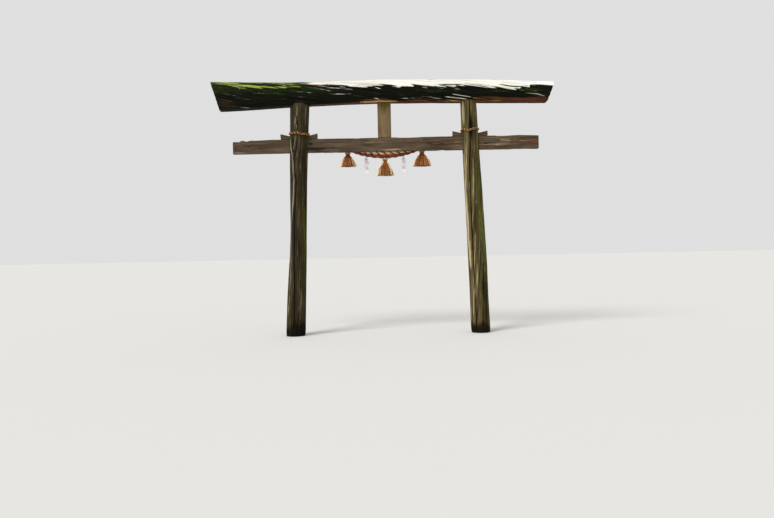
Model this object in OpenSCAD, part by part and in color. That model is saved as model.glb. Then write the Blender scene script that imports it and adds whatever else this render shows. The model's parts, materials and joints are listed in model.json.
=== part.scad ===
// A wooden shrine gate. Two leaning log posts carry a long log lintel. A tie beam runs through both
// posts and is wedged there, a strut stands on it, and a thick straw rope with tassels and paper
// streamers hangs behind it from turns of thin rope round the posts.
// Millimetres, +Z up, +Y away from the approach. The origin is the middle of the left post's foot.

/* [Gate] */
// Distance between the axes of the posts at the ground
post_spacing = 3240; // [2700:10:3900]
// Height of the level seat that the lintel rests on
seat_height = 4030; // [3450:10:4900]
// Inward lean of each post, in degrees
post_lean = 2.2; // [0:0.05:3]

/* [Posts] */
// Diameter of the left post at the ground
left_foot_d = 342; // [280:1:410]
// Diameter of the left post halfway up
left_middle_d = 292; // [260:1:370]
// Diameter of the left post at the seat
left_top_d = 338; // [260:1:370]
// Diameter of the right post at the ground
right_foot_d = 334; // [280:1:410]
// Diameter of the right post halfway up
right_middle_d = 318; // [260:1:370]
// Diameter of the right post at the seat
right_top_d = 282; // [240:1:340]
// Bow of the left post towards the gate's middle, below the tie beam
left_bow = 13; // [-20:1:20]
// Bow of the right post away from the gate's middle, below the tie beam
right_bow = 10; // [-20:1:20]
// How far a log is out of round, as a share of its radius
log_uneven = 0.03; // [0:0.005:0.04]
// Turn of the wood grain from foot to seat, in degrees
grain_turn = 24; // [0:1:60]
// Depth of the deepest drying cracks
crack_depth = 32; // [10:1:45]
// Loss of wood round the foot, on the radius
foot_wear = 9; // [0:1:15]
// Width of the square tenon on top of a post
post_tenon_w = 90; // [60:1:120]
// Height of the tenon on top of a post
post_tenon_h = 120; // [60:1:180]

/* [Lintel] */
// Length of the lintel log along its top
lintel_length = 5980; // [5000:10:7200]
// Distance of the lintel's middle from the gate's middle
lintel_shift = -30; // [-100:5:100]
// Height of the log at its butt, over the left end
butt_h = 500; // [430:1:600]
// Height of the log over the left post
lintel_left_h = 414; // [380:1:500]
// Height of the log over the strut
lintel_middle_h = 402; // [360:1:480]
// Height of the log over the right post
lintel_right_h = 400; // [360:1:480]
// Height of the log at its tip, over the right end
tip_h = 367; // [300:1:440]
// Width of the round log as a share of its height
lintel_fullness = 1.06; // [0.95:0.01:1.2]
// Depth of the log hewn away to flatten its underside
hewn_depth = 28; // [10:1:45]
// Depth that the lintel is let down over the left post
left_bite = 32; // [15:1:60]
// Depth that the lintel is let down over the right post
right_bite = 20; // [10:1:60]
// Rise of the hewn underside above the seats, over the strut
camber = 0; // [0:1:30]
// Fall of the hewn underside below the seats, at the butt
butt_drop = 85; // [0:1:120]
// Fall of the hewn underside below the seats, at the tip
tip_drop = 45; // [0:1:120]
// Slope of the cut at the butt, in degrees
butt_rake = 17; // [0:1:25]
// Turn of the cut at the butt towards the approach, in degrees
butt_turn = 9; // [0:1:20]
// Slope of the cut at the tip, in degrees
tip_rake = 20; // [0:1:25]

/* [Tie beam and strut] */
// Length of the tie beam
beam_length = 5320; // [4500:10:6200]
// Height of the tie beam
beam_h = 240; // [190:1:280]
// Distance of the tie beam's middle from the gate's middle
beam_shift = 18; // [-60:1:60]
// Thickness of the tie beam
beam_t = 95; // [75:1:115]
// Height of the underside of the tie beam
beam_underside = 3183; // [2700:1:3250]
// Bevel on the long edges of the beam and strut
arris = 8; // [2:1:15]
// Wood worn off the top of the beam at its left end
beam_left_wear = 28; // [0:1:40]
// Height of the lump that a knot left in the worn top, near its left end
beam_lump_h = 22; // [0:1:40]
// Wood worn off the top of the beam at its right end
beam_right_wear = 12; // [0:1:40]
// Width of the strut
strut_w = 235; // [180:1:290]
// Thickness of the strut
strut_t = 80; // [60:1:95]
// Width of the strut's tenons
strut_tenon_w = 150; // [90:1:170]
// Thickness of the strut's tenons
strut_tenon_t = 34; // [24:1:45]
// Length of the strut's tenons
strut_tenon_l = 60; // [40:1:90]
// Depth that the strut is let into the lintel
strut_bite = 6; // [4:1:15]

/* [Wedges] */
// Thickness that a wedge would have at the axis of its post
wedge_tip_h = 20; // [12:1:30]
// Rise of a wedge's top for each unit of its length
wedge_slope = 0.235; // [0.15:0.005:0.3]
// Length of a wedge that stands out of its post
wedge_reach = 160; // [100:1:220]
// Gap between the thin ends of the two wedges in a post
wedge_gap = 10; // [6:1:30]
// Difference in thickness between the beam and a wedge
wedge_thinner = 8; // [4:1:16]

/* [Joints] */
// Clearance at each side of a tenon or beam in its mortise
joint_gap = 1.5; // [0.5:0.5:3]
// Clearance round the top of a post in the lintel
housing_gap = 2; // [1:0.5:4]

/* [Rope] */
// Diameter of the thick rope at its middle
rope_middle_d = 136; // [110:1:140]
// Diameter of the rope at its ends and round the posts
rope_end_d = 24; // [18:1:30]
// Distance from the middle at which the rope has thinned to its ends' diameter
rope_taper_reach = 1000; // [800:10:1200]
// Number of turns of thin rope round each post
wrap_turns = 2; // [1:1:3]
// Height of the left post's turns above the wedges
left_wrap_lift = 0.5; // [0.5:0.5:60]
// Height of the right post's turns above the wedges
right_wrap_lift = 20; // [0.5:0.5:60]
// Clearance between a rope and what it is tied round
rope_gap = 1.5; // [1:0.5:3]

/* [Tassels] */
// Distance of the outer tassels from the middle one
tassel_spacing = 650; // [600:10:700]
// Diameter of the left tassel at its hem
left_hem_d = 270; // [220:1:320]
// Diameter of the middle tassel at its hem
middle_hem_d = 286; // [220:1:320]
// Diameter of the right tassel at its hem
right_hem_d = 308; // [220:1:320]
// Height of the left tassel's skirt
left_skirt_h = 185; // [150:1:250]
// Height of the middle tassel's skirt
middle_skirt_h = 230; // [150:1:250]
// Height of the right tassel's skirt
right_skirt_h = 205; // [150:1:250]
// Diameter of a tassel's neck
tassel_neck_d = 74; // [56:1:80]
// Height of a tassel's neck, between its tie and its skirt
tassel_neck_h = 46; // [30:1:60]
// Diameter of a tassel's head above the tie
tassel_head_d = 92; // [84:1:100]
// Height of a tassel's head above the tie
tassel_head_h = 16; // [14:1:30]
// Diameter of the cord that ties a tassel
tie_d = 14; // [10:1:18]
// Thickness of the straw at a tassel's hem
tassel_straw_t = 34; // [20:1:60]

/* [Paper streamers] */
// Distance of the streamers from the gate's middle
streamer_offset = 327; // [280:1:380]
// Number of folds in a streamer
streamer_folds = 4; // [3:1:5]
// Width of a fold
streamer_w = 72; // [60:1:90]
// Height of a fold
streamer_fold_h = 60; // [50:1:66]
// Sideways slant of a fold from its top to its bottom
streamer_slant = 24; // [10:1:32]
// Width of the strip that a streamer hangs by
streamer_strip_w = 30; // [20:1:40]
// Length of the strip that a streamer hangs by
streamer_strip_h = 42; // [30:1:60]
// Thickness of the folded paper
paper_t = 1; // [0.8:0.1:2]

/* [Hidden] */

middle_x = post_spacing / 2;
beam_top = beam_underside + beam_h;
lean_slope = tan(post_lean);
left_diameters = [left_foot_d, left_middle_d, left_top_d];
right_diameters = [right_foot_d, right_middle_d, right_top_d];

// Facets: round the posts and the lintel, rings along them, and round the rope
post_sides = 60;
post_rings = 20;
lintel_sides = 48;
lintel_rings = 28;
rope_sides = 12;

// Height over which a drying crack runs out at its ends
crack_run_out = 420;
// Height of the worn band round a foot
foot_wear_h = 110;
// Distance that a cutting shape runs past what it cuts
past = 20;
// Rounding of the top of a tassel's head
head_round = 6;
// Distance from one turn of rope round a post to the next
turn_pitch = rope_end_d + rope_gap / 4;

// Drying cracks of each post: angle at the foot, depth as a share of crack_depth, and the heights
// that it runs between, as shares of the seat height
left_cracks = [[250, 1, 0.1, 0.98], [210, 0.6, 0.45, 1.05], [288, 0.5, -0.1, 0.6], [90, 0.9, 0.05, 0.8]];
right_cracks = [[243, 1, -0.15, 1.1], [283, 0.6, 0.25, 0.95], [170, 0.5, 0.2, 0.9], [84, 0.9, 0.15, 1]];

// The rope's route from the left post's turns to the right one's: x from the gate's middle, y, z.
// It is drawn for these distances from the gate's middle to the left and to the right post.
rope_route_reach = [1361, 1370];
rope_route = [
    [-1377, 137, 3498], [-1320, 127, 3475], [-1240, 118, 3443], [-1170, 113, 3417], [-1100, 110, 3391],
    [-1025, 107, 3364], [-950, 104, 3338], [-875, 102, 3312], [-800, 101, 3286], [-725, 100, 3261],
    [-650, 100, 3238], [-585, 102, 3219], [-520, 104, 3202], [-455, 107, 3187], [-390, 110, 3174],
    [-320, 113, 3164], [-250, 116, 3156], [-185, 118, 3150], [-120, 119, 3146], [-60, 120, 3144],
    [0, 120, 3143], [60, 120, 3144], [120, 119, 3146], [185, 118, 3151], [250, 116, 3157],
    [320, 113, 3166], [390, 110, 3177], [455, 107, 3190], [520, 104, 3206], [585, 102, 3224],
    [650, 100, 3244], [725, 100, 3268], [800, 101, 3294], [875, 102, 3321], [950, 104, 3348],
    [1025, 107, 3375], [1100, 110, 3403], [1170, 113, 3429], [1240, 116, 3456], [1320, 121, 3486],
    [1387, 127, 3512]
];

function lerp(a, b, t) = a + (b - a) * t;
function clamp(v, low, high) = min(max(v, low), high);
function pick(values, i) = values[clamp(i, 0, len(values) - 1)];

// The value at t, from 0 to 1, on a smooth line through evenly spaced values
function along(values, t) =
    let (
        s = clamp(t, 0, 1) * (len(values) - 1),
        i = min(floor(s), len(values) - 2),
        f = s - i,
        a = pick(values, i - 1), b = pick(values, i), c = pick(values, i + 1), d = pick(values, i + 2)
    )
    b + f / 2 * (c - a + f * (2 * a - 5 * b + 4 * c - d + f * (3 * (b - c) + d - a)));

// 1 between low and high, falling smoothly to 0 over the run-out past each
function inside(v, low, high, run_out) =
    let (t = clamp((min(v - low, high - v) + run_out) / run_out, 0, 1)) t * t * (3 - 2 * t);

// Loss of a log's radius through its uneven growth, from 0 to 1
function growth_loss(angle, distance) =
    0.5 - 0.2 * cos(2 * angle + distance / 23) - 0.15 * cos(3 * angle - distance / 11)
    - 0.1 * cos(5 * angle + distance / 7 + 40) - 0.05 * cos(9 * angle - distance / 4);

// Radius of a post of the given diameters at a height, where it is roundest
function post_r(diameters, z) = along(diameters, z / seat_height) / 2;

// Depth of the drying cracks of a post in the column of facets at an angle to the grain
function crack_loss(cracks, angle, z) =
    max([0, for (c = cracks)
        let (apart = abs((angle - c[0] + 540) % 360 - 180))
        apart < 180 / post_sides
            ? crack_depth * c[1] * inside(z, c[2] * seat_height, c[3] * seat_height, crack_run_out)
            : 0]);

// Sideways place of a post's axis below the beam, where the log is bowed off its straight line
function bowed(bow, z) = bow * pow(sin(180 * clamp(z / beam_underside, 0, 1)), 2);

// One ring of a post. Its columns of facets turn with the grain as they rise.
function post_ring(diameters, cracks, turn, bow, z) =
    let (
        r = post_r(diameters, z),
        worn = foot_wear * pow(clamp(1 - z / foot_wear_h, 0, 1), 2)
    )
    [for (k = [0:post_sides - 1])
        let (
            angle = 360 * k / post_sides,
            a = angle + turn * z / seat_height,
            loss = max(r * log_uneven * growth_loss(a, z), crack_loss(cracks, angle, z)),
            d = r - loss - worn
        )
        [z * lean_slope + bowed(bow, z) + d * cos(a), d * sin(a), z]];

function post_heights() = concat(
    [-past, 0, foot_wear_h / 3, foot_wear_h],
    [for (i = [1:post_rings]) lerp(foot_wear_h, seat_height + past, i / post_rings)]
);

// The ends of the lintel at its top, and what its underside and height are there, over the posts
// and over the strut
butt_x = middle_x + lintel_shift - lintel_length / 2;
tip_x = butt_x + lintel_length;
seat_lean = seat_height * lean_slope;
stations = [
    [butt_x, 0], [seat_lean, 0.25], [middle_x, 0.5], [post_spacing - seat_lean, 0.75], [tip_x, 1]
];
undersides = [for (rise = [-butt_drop, -left_bite, camber, -right_bite, -tip_drop]) seat_height + rise];
heights = [butt_h, lintel_left_h, lintel_middle_h, lintel_right_h, tip_h];
function underside_at(x) = along(undersides, lookup(x, stations));
function lintel_h_at(x) = along(heights, lookup(x, stations));

// One ring of the lintel, a round log hewn flat below. Its ends are cut back as they come down.
function lintel_ring(t) =
    let (
        x = lerp(butt_x, tip_x, t),
        low = underside_at(x),
        h = lintel_h_at(x),
        r = (h + hewn_depth) / 2
    )
    [for (k = [0:lintel_sides - 1])
        let (
            a = 360 * k / lintel_sides,
            d = r * (1 - log_uneven * growth_loss(a - 90, x + 900)),
            y = d * lintel_fullness * cos(a),
            z = max(low, low + h - r + d * sin(a)),
            cut_back = lerp(tan(butt_rake), -tan(tip_rake), t) * (low + h - z)
                + (1 - t) * tan(butt_turn) * max(0, -y)
        )
        [x + cut_back, y, z]];

// Diameter of the rope at a distance from the gate's middle
function rope_d(x) =
    lerp(rope_end_d, rope_middle_d, (1 + cos(180 * min(abs(x) / rope_taper_reach, 1))) / 2);
function unit(v) = v / norm(v);
function rope_ring(i) =
    let (
        p = rope_points[i],
        forward = unit(pick(rope_points, i + 1) - pick(rope_points, i - 1)),
        side = unit(cross([0, 0, 1], forward)),
        up = cross(forward, side)
    )
    [for (k = [0:rope_sides - 1])
        let (a = 360 * k / rope_sides)
        [middle_x, 0, 0] + p + rope_d(p[0]) / 2 * (cos(a) * side + sin(a) * up)];

// Height of the rope's underside, and the rope's distance behind the gate, at x from its middle
function rope_underside(x) = lookup(x, [for (p = rope_points) [p[0], p[2]]]) - rope_d(x) / 2;
function rope_y(x) = lookup(x, [for (p = rope_points) [p[0], p[1]]]);

// Height of the middle of the turns round a post, which rest on its wedges or are lifted off them
function wrap_z(post_r, lift) =
    let (reach = post_r + rope_gap + rope_end_d)
    beam_top + wedge_tip_h + (wedge_slope + lean_slope) * reach + wrap_turns * turn_pitch / 2 + lift;

// A closed solid through rings of equal length, with a fan over each end
module loft(rings) {
    n = len(rings[0]);
    last = len(rings) - 1;
    ones = [for (k = [1:n]) 1];
    end_centres = [ones * rings[0] / n, ones * rings[last] / n];
    start_centre = n * len(rings);
    sides = [for (r = [0:last - 1], k = [0:n - 1])
        let (a = r * n + k, b = r * n + (k + 1) % n)
        each [[a, a + n, b + n], [a, b + n, b]]];
    start_fan = [for (k = [0:n - 1]) [start_centre, k, (k + 1) % n]];
    end_fan = [for (k = [0:n - 1]) [start_centre + 1, last * n + (k + 1) % n, last * n + k]];
    polyhedron(
        points = concat([for (ring = rings) each ring], end_centres),
        faces = concat(sides, start_fan, end_fan),
        convexity = 8
    );
}

// An upright plate with its outline in x and z, centred on y = 0
module plate(outline, thickness) {
    rotate([90, 0, 0])
        linear_extrude(thickness, center = true, convexity = 4)
            polygon(outline);
}

// A block centred on x and y, standing on z = 0
module block(w, t, h) {
    translate([-w / 2, -t / 2, 0]) cube([w, t, h]);
}

// The outline of the wedges' common taper, out to a distance on each side of a post's axis
function taper(reach, first = 0) = [
    [first, 0], [reach, 0], [reach, wedge_tip_h + wedge_slope * reach],
    [first, wedge_tip_h + wedge_slope * first]
];

// The mortise through a post for the tie beam and its two wedges, from the post's axis at the beam
module beam_mortise(reach) {
    translate([0, 0, beam_underside])
        translate([-reach, -beam_t / 2 - joint_gap, 0])
            cube([2 * reach, beam_t + 2 * joint_gap, beam_h]);
    for (side = [0, 1])
        mirror([side, 0, 0])
            translate([0, 0, beam_top])
                plate(taper(reach), beam_t - wedge_thinner + 2 * joint_gap);
}

// A post that leans and bows towards +X, with its tenon, from its diameters at foot, middle and seat
module post(diameters, cracks, turn, bow) {
    difference() {
        union() {
            intersection() {
                loft([for (z = post_heights()) post_ring(diameters, cracks, turn, bow, z)]);
                translate([seat_lean / 2, 0, 0]) block(3 * diameters[0], 3 * diameters[0], seat_height);
            }
            translate([seat_lean, 0, seat_height - past])
                block(post_tenon_w, post_tenon_w, post_tenon_h + past);
        }
        translate([beam_top * lean_slope, 0, 0]) beam_mortise(diameters[0]);
    }
}

module left_post() {
    color("#5c4d3a") post(left_diameters, left_cracks, grain_turn, left_bow);
}

// The right post leans the other way, so it is mirrored, but for its cracks and the turn of its grain.
// Its bow is turned with it, away from the middle.
module right_post() {
    color("#857850")
        translate([post_spacing, 0, 0])
            mirror([1, 0, 0])
                post(right_diameters, [for (c = right_cracks) [180 - c[0], c[1], c[2], c[3]]],
                    -grain_turn, -right_bow);
}

// The space in the lintel for the top of a post, from the middle of the seat
module post_seat(top_d) {
    translate([0, 0, -past - hewn_depth - left_bite - right_bite])
        cylinder(d = top_d + 2 * housing_gap, h = past + hewn_depth + left_bite + right_bite, $fn = 96);
    translate([0, 0, -past])
        block(post_tenon_w + 2 * joint_gap, post_tenon_w + 2 * joint_gap, post_tenon_h + past + joint_gap);
}

module lintel() {
    strut_seat = seat_height + camber + strut_bite;
    color("#3f3d2c")
        difference() {
            loft([for (i = [0:lintel_rings]) lintel_ring(i / lintel_rings)]);
            translate([seat_lean, 0, seat_height]) post_seat(left_top_d);
            translate([post_spacing - seat_lean, 0, seat_height]) post_seat(right_top_d);
            translate([middle_x, 0, strut_seat - past - strut_bite])
                block(strut_w + 2 * joint_gap, strut_t + 2 * joint_gap, past + strut_bite);
            translate([middle_x, 0, strut_seat - past])
                block(strut_tenon_w + 2 * joint_gap, strut_tenon_t + 2 * joint_gap,
                    past + strut_tenon_l + joint_gap);
        }
}

// The beam's top is worn down towards both ends, but for a lump near the left one
module tie_beam() {
    half = beam_length / 2;
    worn_span = beam_length / 16;
    worn_h = beam_h - beam_left_wear;
    outline = [
        [-half, 0], [half, 0],
        [half, beam_h - beam_right_wear], [half - worn_span, beam_h],
        [worn_span - half, beam_h], [0.7 * worn_span - half, worn_h + 4],
        [0.6 * worn_span - half, worn_h + beam_lump_h], [0.45 * worn_span - half, worn_h + beam_lump_h],
        [0.35 * worn_span - half, worn_h], [-half, worn_h]
    ];
    bevelled = [
        [arris, 0], [beam_t - arris, 0], [beam_t, arris], [beam_t, beam_h - arris],
        [beam_t - arris, beam_h], [arris, beam_h], [0, beam_h - arris], [0, arris]
    ];
    color("#6a5c48")
        translate([middle_x, 0, beam_underside])
            difference() {
                translate([beam_shift, 0, 0]) intersection() {
                    plate(outline, beam_t);
                    translate([-half, -beam_t / 2, 0])
                        rotate([90, 0, 90]) linear_extrude(beam_length) polygon(bevelled);
                }
                translate([0, 0, beam_h - strut_tenon_l - joint_gap])
                    block(strut_tenon_w + 2 * joint_gap, strut_tenon_t + 2 * joint_gap,
                        strut_tenon_l + joint_gap + past);
            }
}

module centre_strut() {
    shoulder_h = seat_height + camber + strut_bite - beam_top;
    bevelled = [for (sx = [-1, 1], sy = [-1, 1]) each [
        [sx * (strut_w / 2 - arris), sy * strut_t / 2], [sx * strut_w / 2, sy * (strut_t / 2 - arris)]
    ]];
    color("#766248")
        translate([middle_x, 0, beam_top]) {
            hull() linear_extrude(shoulder_h) polygon(bevelled);
            translate([0, 0, -strut_tenon_l])
                block(strut_tenon_w, strut_tenon_t, shoulder_h + 2 * strut_tenon_l);
        }
}

// A wedge on the beam, driven towards -X into a post that has the given radius there
module wedge(post_r) {
    color("#584b38") plate(taper(post_r + wedge_reach, wedge_gap / 2), beam_t - wedge_thinner);
}

// Where the axis of each post is as it passes the top of the beam, and its radius there
left_beam_x = beam_top * lean_slope;
right_beam_x = post_spacing - left_beam_x;
left_beam_r = post_r(left_diameters, beam_top);
right_beam_r = post_r(right_diameters, beam_top);

// The rope's route, drawn out or in to the turns round each post
rope_points = [for (p = rope_route)
    let (
        reach = middle_x - left_beam_x - (p[0] < 0 ? left_beam_r : right_beam_r),
        drawn_reach = rope_route_reach[p[0] < 0 ? 0 : 1]
    )
    [p[0] * reach / drawn_reach, p[1], p[2]]];

module left_post_outer_wedge() {
    translate([left_beam_x, 0, beam_top]) mirror([1, 0, 0]) wedge(left_beam_r);
}

module left_post_inner_wedge() {
    translate([left_beam_x, 0, beam_top]) wedge(left_beam_r);
}

module right_post_inner_wedge() {
    translate([right_beam_x, 0, beam_top]) mirror([1, 0, 0]) wedge(right_beam_r);
}

module right_post_outer_wedge() {
    translate([right_beam_x, 0, beam_top]) wedge(right_beam_r);
}

// Turns of thin rope square to a post that leans towards +X, from its diameters and their lift
module rope_wrap(diameters, lift) {
    z = wrap_z(post_r(diameters, beam_top), lift);
    color("#c78a4b")
        translate([z * lean_slope, 0, z])
            rotate([0, post_lean, 0])
                for (i = [0:wrap_turns - 1])
                    translate([0, 0, (i - (wrap_turns - 1) / 2) * turn_pitch])
                        rotate_extrude($fn = 72)
                            translate([post_r(diameters, z) + rope_gap + rope_end_d / 2, 0])
                                circle(d = rope_end_d, $fn = 24);
}

module left_rope_wrap() {
    rope_wrap(left_diameters, left_wrap_lift);
}

module right_rope_wrap() {
    translate([post_spacing, 0, 0])
        mirror([1, 0, 0])
            rope_wrap(right_diameters, right_wrap_lift);
}

module straw_rope() {
    color("#c78a4b") loft([for (i = [0:len(rope_points) - 1]) rope_ring(i)]);
}

// What is given hangs clear of the rope's underside at x from the middle, reaching to each side
module under_rope(x, reach) {
    z = min([for (side = [-reach, 0, reach]) rope_underside(x + side)]) - rope_gap;
    translate([middle_x + x, rope_y(x), z]) children();
}

// A straw bell, from the top of its head down. Its hem is open underneath.
module tassel(hem_d, skirt_h) {
    neck_r = tassel_neck_d / 2;
    head_r = tassel_head_d / 2;
    hem_r = hem_d / 2;
    neck_z = -tassel_head_h - tassel_neck_h;
    hem_z = neck_z - skirt_h;
    skirt = [for (t = [0:0.125:1])
        [lerp(neck_r, hem_r, sin(90 * pow(t, 0.9))), lerp(neck_z, hem_z, t)]];
    color("#c27b3c")
        rotate_extrude($fn = 72)
            polygon(concat(
                [[0, 0], [head_r - head_round, 0], [head_r, -head_round], [neck_r, -tassel_head_h]],
                skirt,
                [[hem_r - tassel_straw_t, hem_z], [0, hem_z + skirt_h / 2]]
            ));
}

// The cord round a tassel's neck
module tassel_tie() {
    color("#e6c48a")
        translate([0, 0, -tassel_head_h])
            rotate_extrude($fn = 48)
                translate([tassel_neck_d / 2 + tie_d / 2 + rope_gap, 0])
                    circle(d = tie_d, $fn = 20);
}

module left_tassel() {
    under_rope(-tassel_spacing, tassel_head_d / 2) tassel(left_hem_d, left_skirt_h);
}

module middle_tassel() {
    under_rope(0, tassel_head_d / 2) tassel(middle_hem_d, middle_skirt_h);
}

module right_tassel() {
    under_rope(tassel_spacing, tassel_head_d / 2) tassel(right_hem_d, right_skirt_h);
}

module left_tassel_tie() {
    under_rope(-tassel_spacing, tassel_head_d / 2) tassel_tie();
}

module middle_tassel_tie() {
    under_rope(0, tassel_head_d / 2) tassel_tie();
}

module right_tassel_tie() {
    under_rope(tassel_spacing, tassel_head_d / 2) tassel_tie();
}

// A folded paper streamer, from the top of its strip down. Each fold slants to the side where the
// one above it doesn't.
module paper_streamer() {
    half_strip = streamer_strip_w / 2;
    fold = [
        [-streamer_w / 2, 0], [streamer_w / 2 - streamer_slant, 0],
        [streamer_w / 2, -streamer_fold_h], [streamer_slant - streamer_w / 2, -streamer_fold_h]
    ];
    color("white") {
        plate([
            [-half_strip, 0], [half_strip, 0],
            [half_strip, -streamer_strip_h], [-half_strip, -streamer_strip_h]
        ], paper_t);
        for (i = [0:streamer_folds - 1])
            translate([0, 0, -streamer_strip_h - i * streamer_fold_h])
                mirror([i % 2, 0, 0])
                    plate(fold, paper_t);
    }
}

module left_paper_streamer() {
    under_rope(-streamer_offset, streamer_strip_w / 2) paper_streamer();
}

module right_paper_streamer() {
    under_rope(streamer_offset, streamer_strip_w / 2) paper_streamer();
}

left_post();
right_post();
lintel();
tie_beam();
centre_strut();
left_post_outer_wedge();
left_post_inner_wedge();
right_post_inner_wedge();
right_post_outer_wedge();
left_rope_wrap();
right_rope_wrap();
straw_rope();
left_tassel();
middle_tassel();
right_tassel();
left_tassel_tie();
middle_tassel_tie();
right_tassel_tie();
left_paper_streamer();
right_paper_streamer();
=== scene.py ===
"""A wooden shrine gate: leaning log posts, a rotting log lintel, a wedged tie beam, straw and paper.

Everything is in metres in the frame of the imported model: +X towards the right post, +Y away from
the approach, +Z up, with the origin at the middle of the left post's foot.
"""

import json
import logging
import math
import random
from dataclasses import dataclass
from enum import Enum
from functools import cache
from typing import Sequence

import bmesh
import bpy
import numpy as np
from mathutils import Euler, Matrix, Vector


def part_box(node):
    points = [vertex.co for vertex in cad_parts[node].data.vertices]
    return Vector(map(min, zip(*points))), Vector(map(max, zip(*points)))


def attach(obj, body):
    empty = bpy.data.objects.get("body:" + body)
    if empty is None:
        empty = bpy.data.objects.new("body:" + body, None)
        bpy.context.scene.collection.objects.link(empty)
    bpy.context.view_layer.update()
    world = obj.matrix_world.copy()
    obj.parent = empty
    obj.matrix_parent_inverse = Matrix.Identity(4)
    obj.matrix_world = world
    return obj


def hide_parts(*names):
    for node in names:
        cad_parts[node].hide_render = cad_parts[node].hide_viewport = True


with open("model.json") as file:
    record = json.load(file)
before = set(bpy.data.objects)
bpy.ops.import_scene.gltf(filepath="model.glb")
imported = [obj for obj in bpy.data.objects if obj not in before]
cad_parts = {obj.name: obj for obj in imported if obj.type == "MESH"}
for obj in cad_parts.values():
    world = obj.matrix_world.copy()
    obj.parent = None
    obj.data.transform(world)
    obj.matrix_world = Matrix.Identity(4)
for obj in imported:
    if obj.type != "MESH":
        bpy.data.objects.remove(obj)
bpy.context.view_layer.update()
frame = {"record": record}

LOG = logging.getLogger("gate")
Array = np.ndarray
Colour = tuple[float, float, float, float]
Socket = bpy.types.NodeSocket
Feed = Socket | float | tuple

# The places that the pieces share
MOUNTS = {mount["name"]: Vector(mount["pos_m"]) for mount in frame["record"]["mounts"]}
POST_SPACING = MOUNTS["right_post_foot"].x
MIDDLE_X = POST_SPACING / 2
TENON_W = 0.090
TENON_H = 0.120
STRUT_TENON = (0.150, 0.034, 0.060)
SEAT_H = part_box("left_post")[1].z - TENON_H
LEAN = math.radians(2.2)
SEAT_LEAN = SEAT_H * math.tan(LEAN)
BEAM_LOW, BEAM_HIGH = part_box("tie_beam")
JOINT_GAP = 0.0015
HOUSING_GAP = 0.002
WEDGE_TIP_H = 0.020
WEDGE_SLOPE = 0.235
WEDGE_THINNER = 0.008
TENON_ROOT = 0.020
SEAT_REACH = 0.100

# One straw in this many is a pale painted rim highlight on a tassel's sides, and a face that is this square to
# the grain is end grain
RIM_HIGHLIGHT_STRAWS = 9
END_FACING = 0.8

# Points this close together are one point, and points this close to an end are on it
WELD = 1e-5
AT_END = 1e-6


# Numbers and smooth random fields

def srgb(code: str) -> Colour:
    """Turns a colour's code into a linear colour.

    Args:
        code: Six hexadecimal digits.

    Returns:
        Red, green, blue and an alpha of 1.
    """
    parts = [int(code[i:i + 2], 16) / 255 for i in (0, 2, 4)]
    linear = [part / 12.92 if part <= 0.04045 else ((part + 0.055) / 1.055) ** 2.4 for part in parts]
    return (*linear, 1.0)


def smoothstep(value: Array, low: float, high: float) -> Array:
    """Returns 0 below low and 1 above high, with a smooth rise between them."""
    share = np.clip((value - low) / (high - low), 0, 1)
    return share * share * (3 - 2 * share)


def through(values: Sequence, share: Array) -> Array:
    """Follows a smooth line through evenly spaced values.

    Args:
        values: The numbers or points that the line passes through.
        share: Where along it, from 0 to 1.

    Returns:
        The line's value at each share.
    """
    known = np.asarray(values, float)
    place = np.clip(share, 0, 1) * (len(known) - 1)
    index = np.minimum(place.astype(int), len(known) - 2)
    f = (place - index).reshape(place.shape + (1,) * (known.ndim - 1))
    padded = np.concatenate([known[:1], known, known[-1:]])
    a, b, c, d = (padded[index + step] for step in range(4))
    return b + f / 2 * (c - a + f * (2 * a - 5 * b + 4 * c - d + f * (3 * (b - c) + d - a)))


def cell_value(cells: Array, seed: int) -> Array:
    """Gives a repeatable value to each cell of a lattice.

    Args:
        cells: Three whole numbers for each cell.
        seed: Which set of values.

    Returns:
        A value from 0 to 1 for each cell.
    """
    mixed = cells[..., 0] * 73856093 ^ cells[..., 1] * 19349663 ^ cells[..., 2] * 83492791 ^ seed * 40503
    mixed = (mixed ^ (mixed >> 13)) * 1274126177
    return ((mixed ^ (mixed >> 16)) & 0xFFFF) / 0xFFFF


def rough_noise(points: Array, seed: int, octaves: int = 3) -> Array:
    """Smooth random values in space, with finer and weaker ones added.

    Args:
        points: Where, with the coarsest features one unit across.
        seed: Which field.
        octaves: How many sizes of feature, each half as large as the one before.

    Returns:
        A value from 0 to 1 at each point, mostly near 0.5.
    """
    total, weight = np.zeros(len(points)), 0.0
    for octave in range(octaves):
        spot = points * 2 ** octave
        base = np.floor(spot).astype(np.int64)
        f = spot - base
        f = f * f * (3 - 2 * f)
        layer = np.zeros(len(points))
        for corner in np.ndindex(2, 2, 2):
            share = np.prod(np.where(corner, f, 1 - f), axis=-1)
            layer += share * cell_value(base + corner, seed + 31 * octave)
        total += layer * 0.5 ** octave
        weight += 0.5 ** octave
    return total / weight


# Meshes

@dataclass
class Skin:
    """A closed tube before it is shaped, and where each of its vertices is on it.

    Attributes:
        obj: The tube.
        angle: Each vertex's direction round it, in degrees.
        along: Its place along it, from 0 to 1.
        reach: Its distance from the middle, which is 1 on the tube's side.
    """

    obj: bpy.types.Object
    angle: Array
    along: Array
    reach: Array

    def place(self, points: Array) -> bpy.types.Object:
        """Moves the vertices to their places.

        Args:
            points: A point in the frame for each vertex.

        Returns:
            The object.
        """
        self.obj.data.vertices.foreach_set("co", np.asarray(points, np.float32).ravel())
        self.obj.data.update()
        return self.obj


def placed(name: str, data: bpy.types.ID) -> bpy.types.Object:
    """Puts something into the scene, at the origin.

    Args:
        name: The object's name.
        data: A mesh, a curve, a camera or a lamp.

    Returns:
        The object.
    """
    obj = bpy.data.objects.new(name, data)
    bpy.context.scene.collection.objects.link(obj)
    return obj


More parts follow.
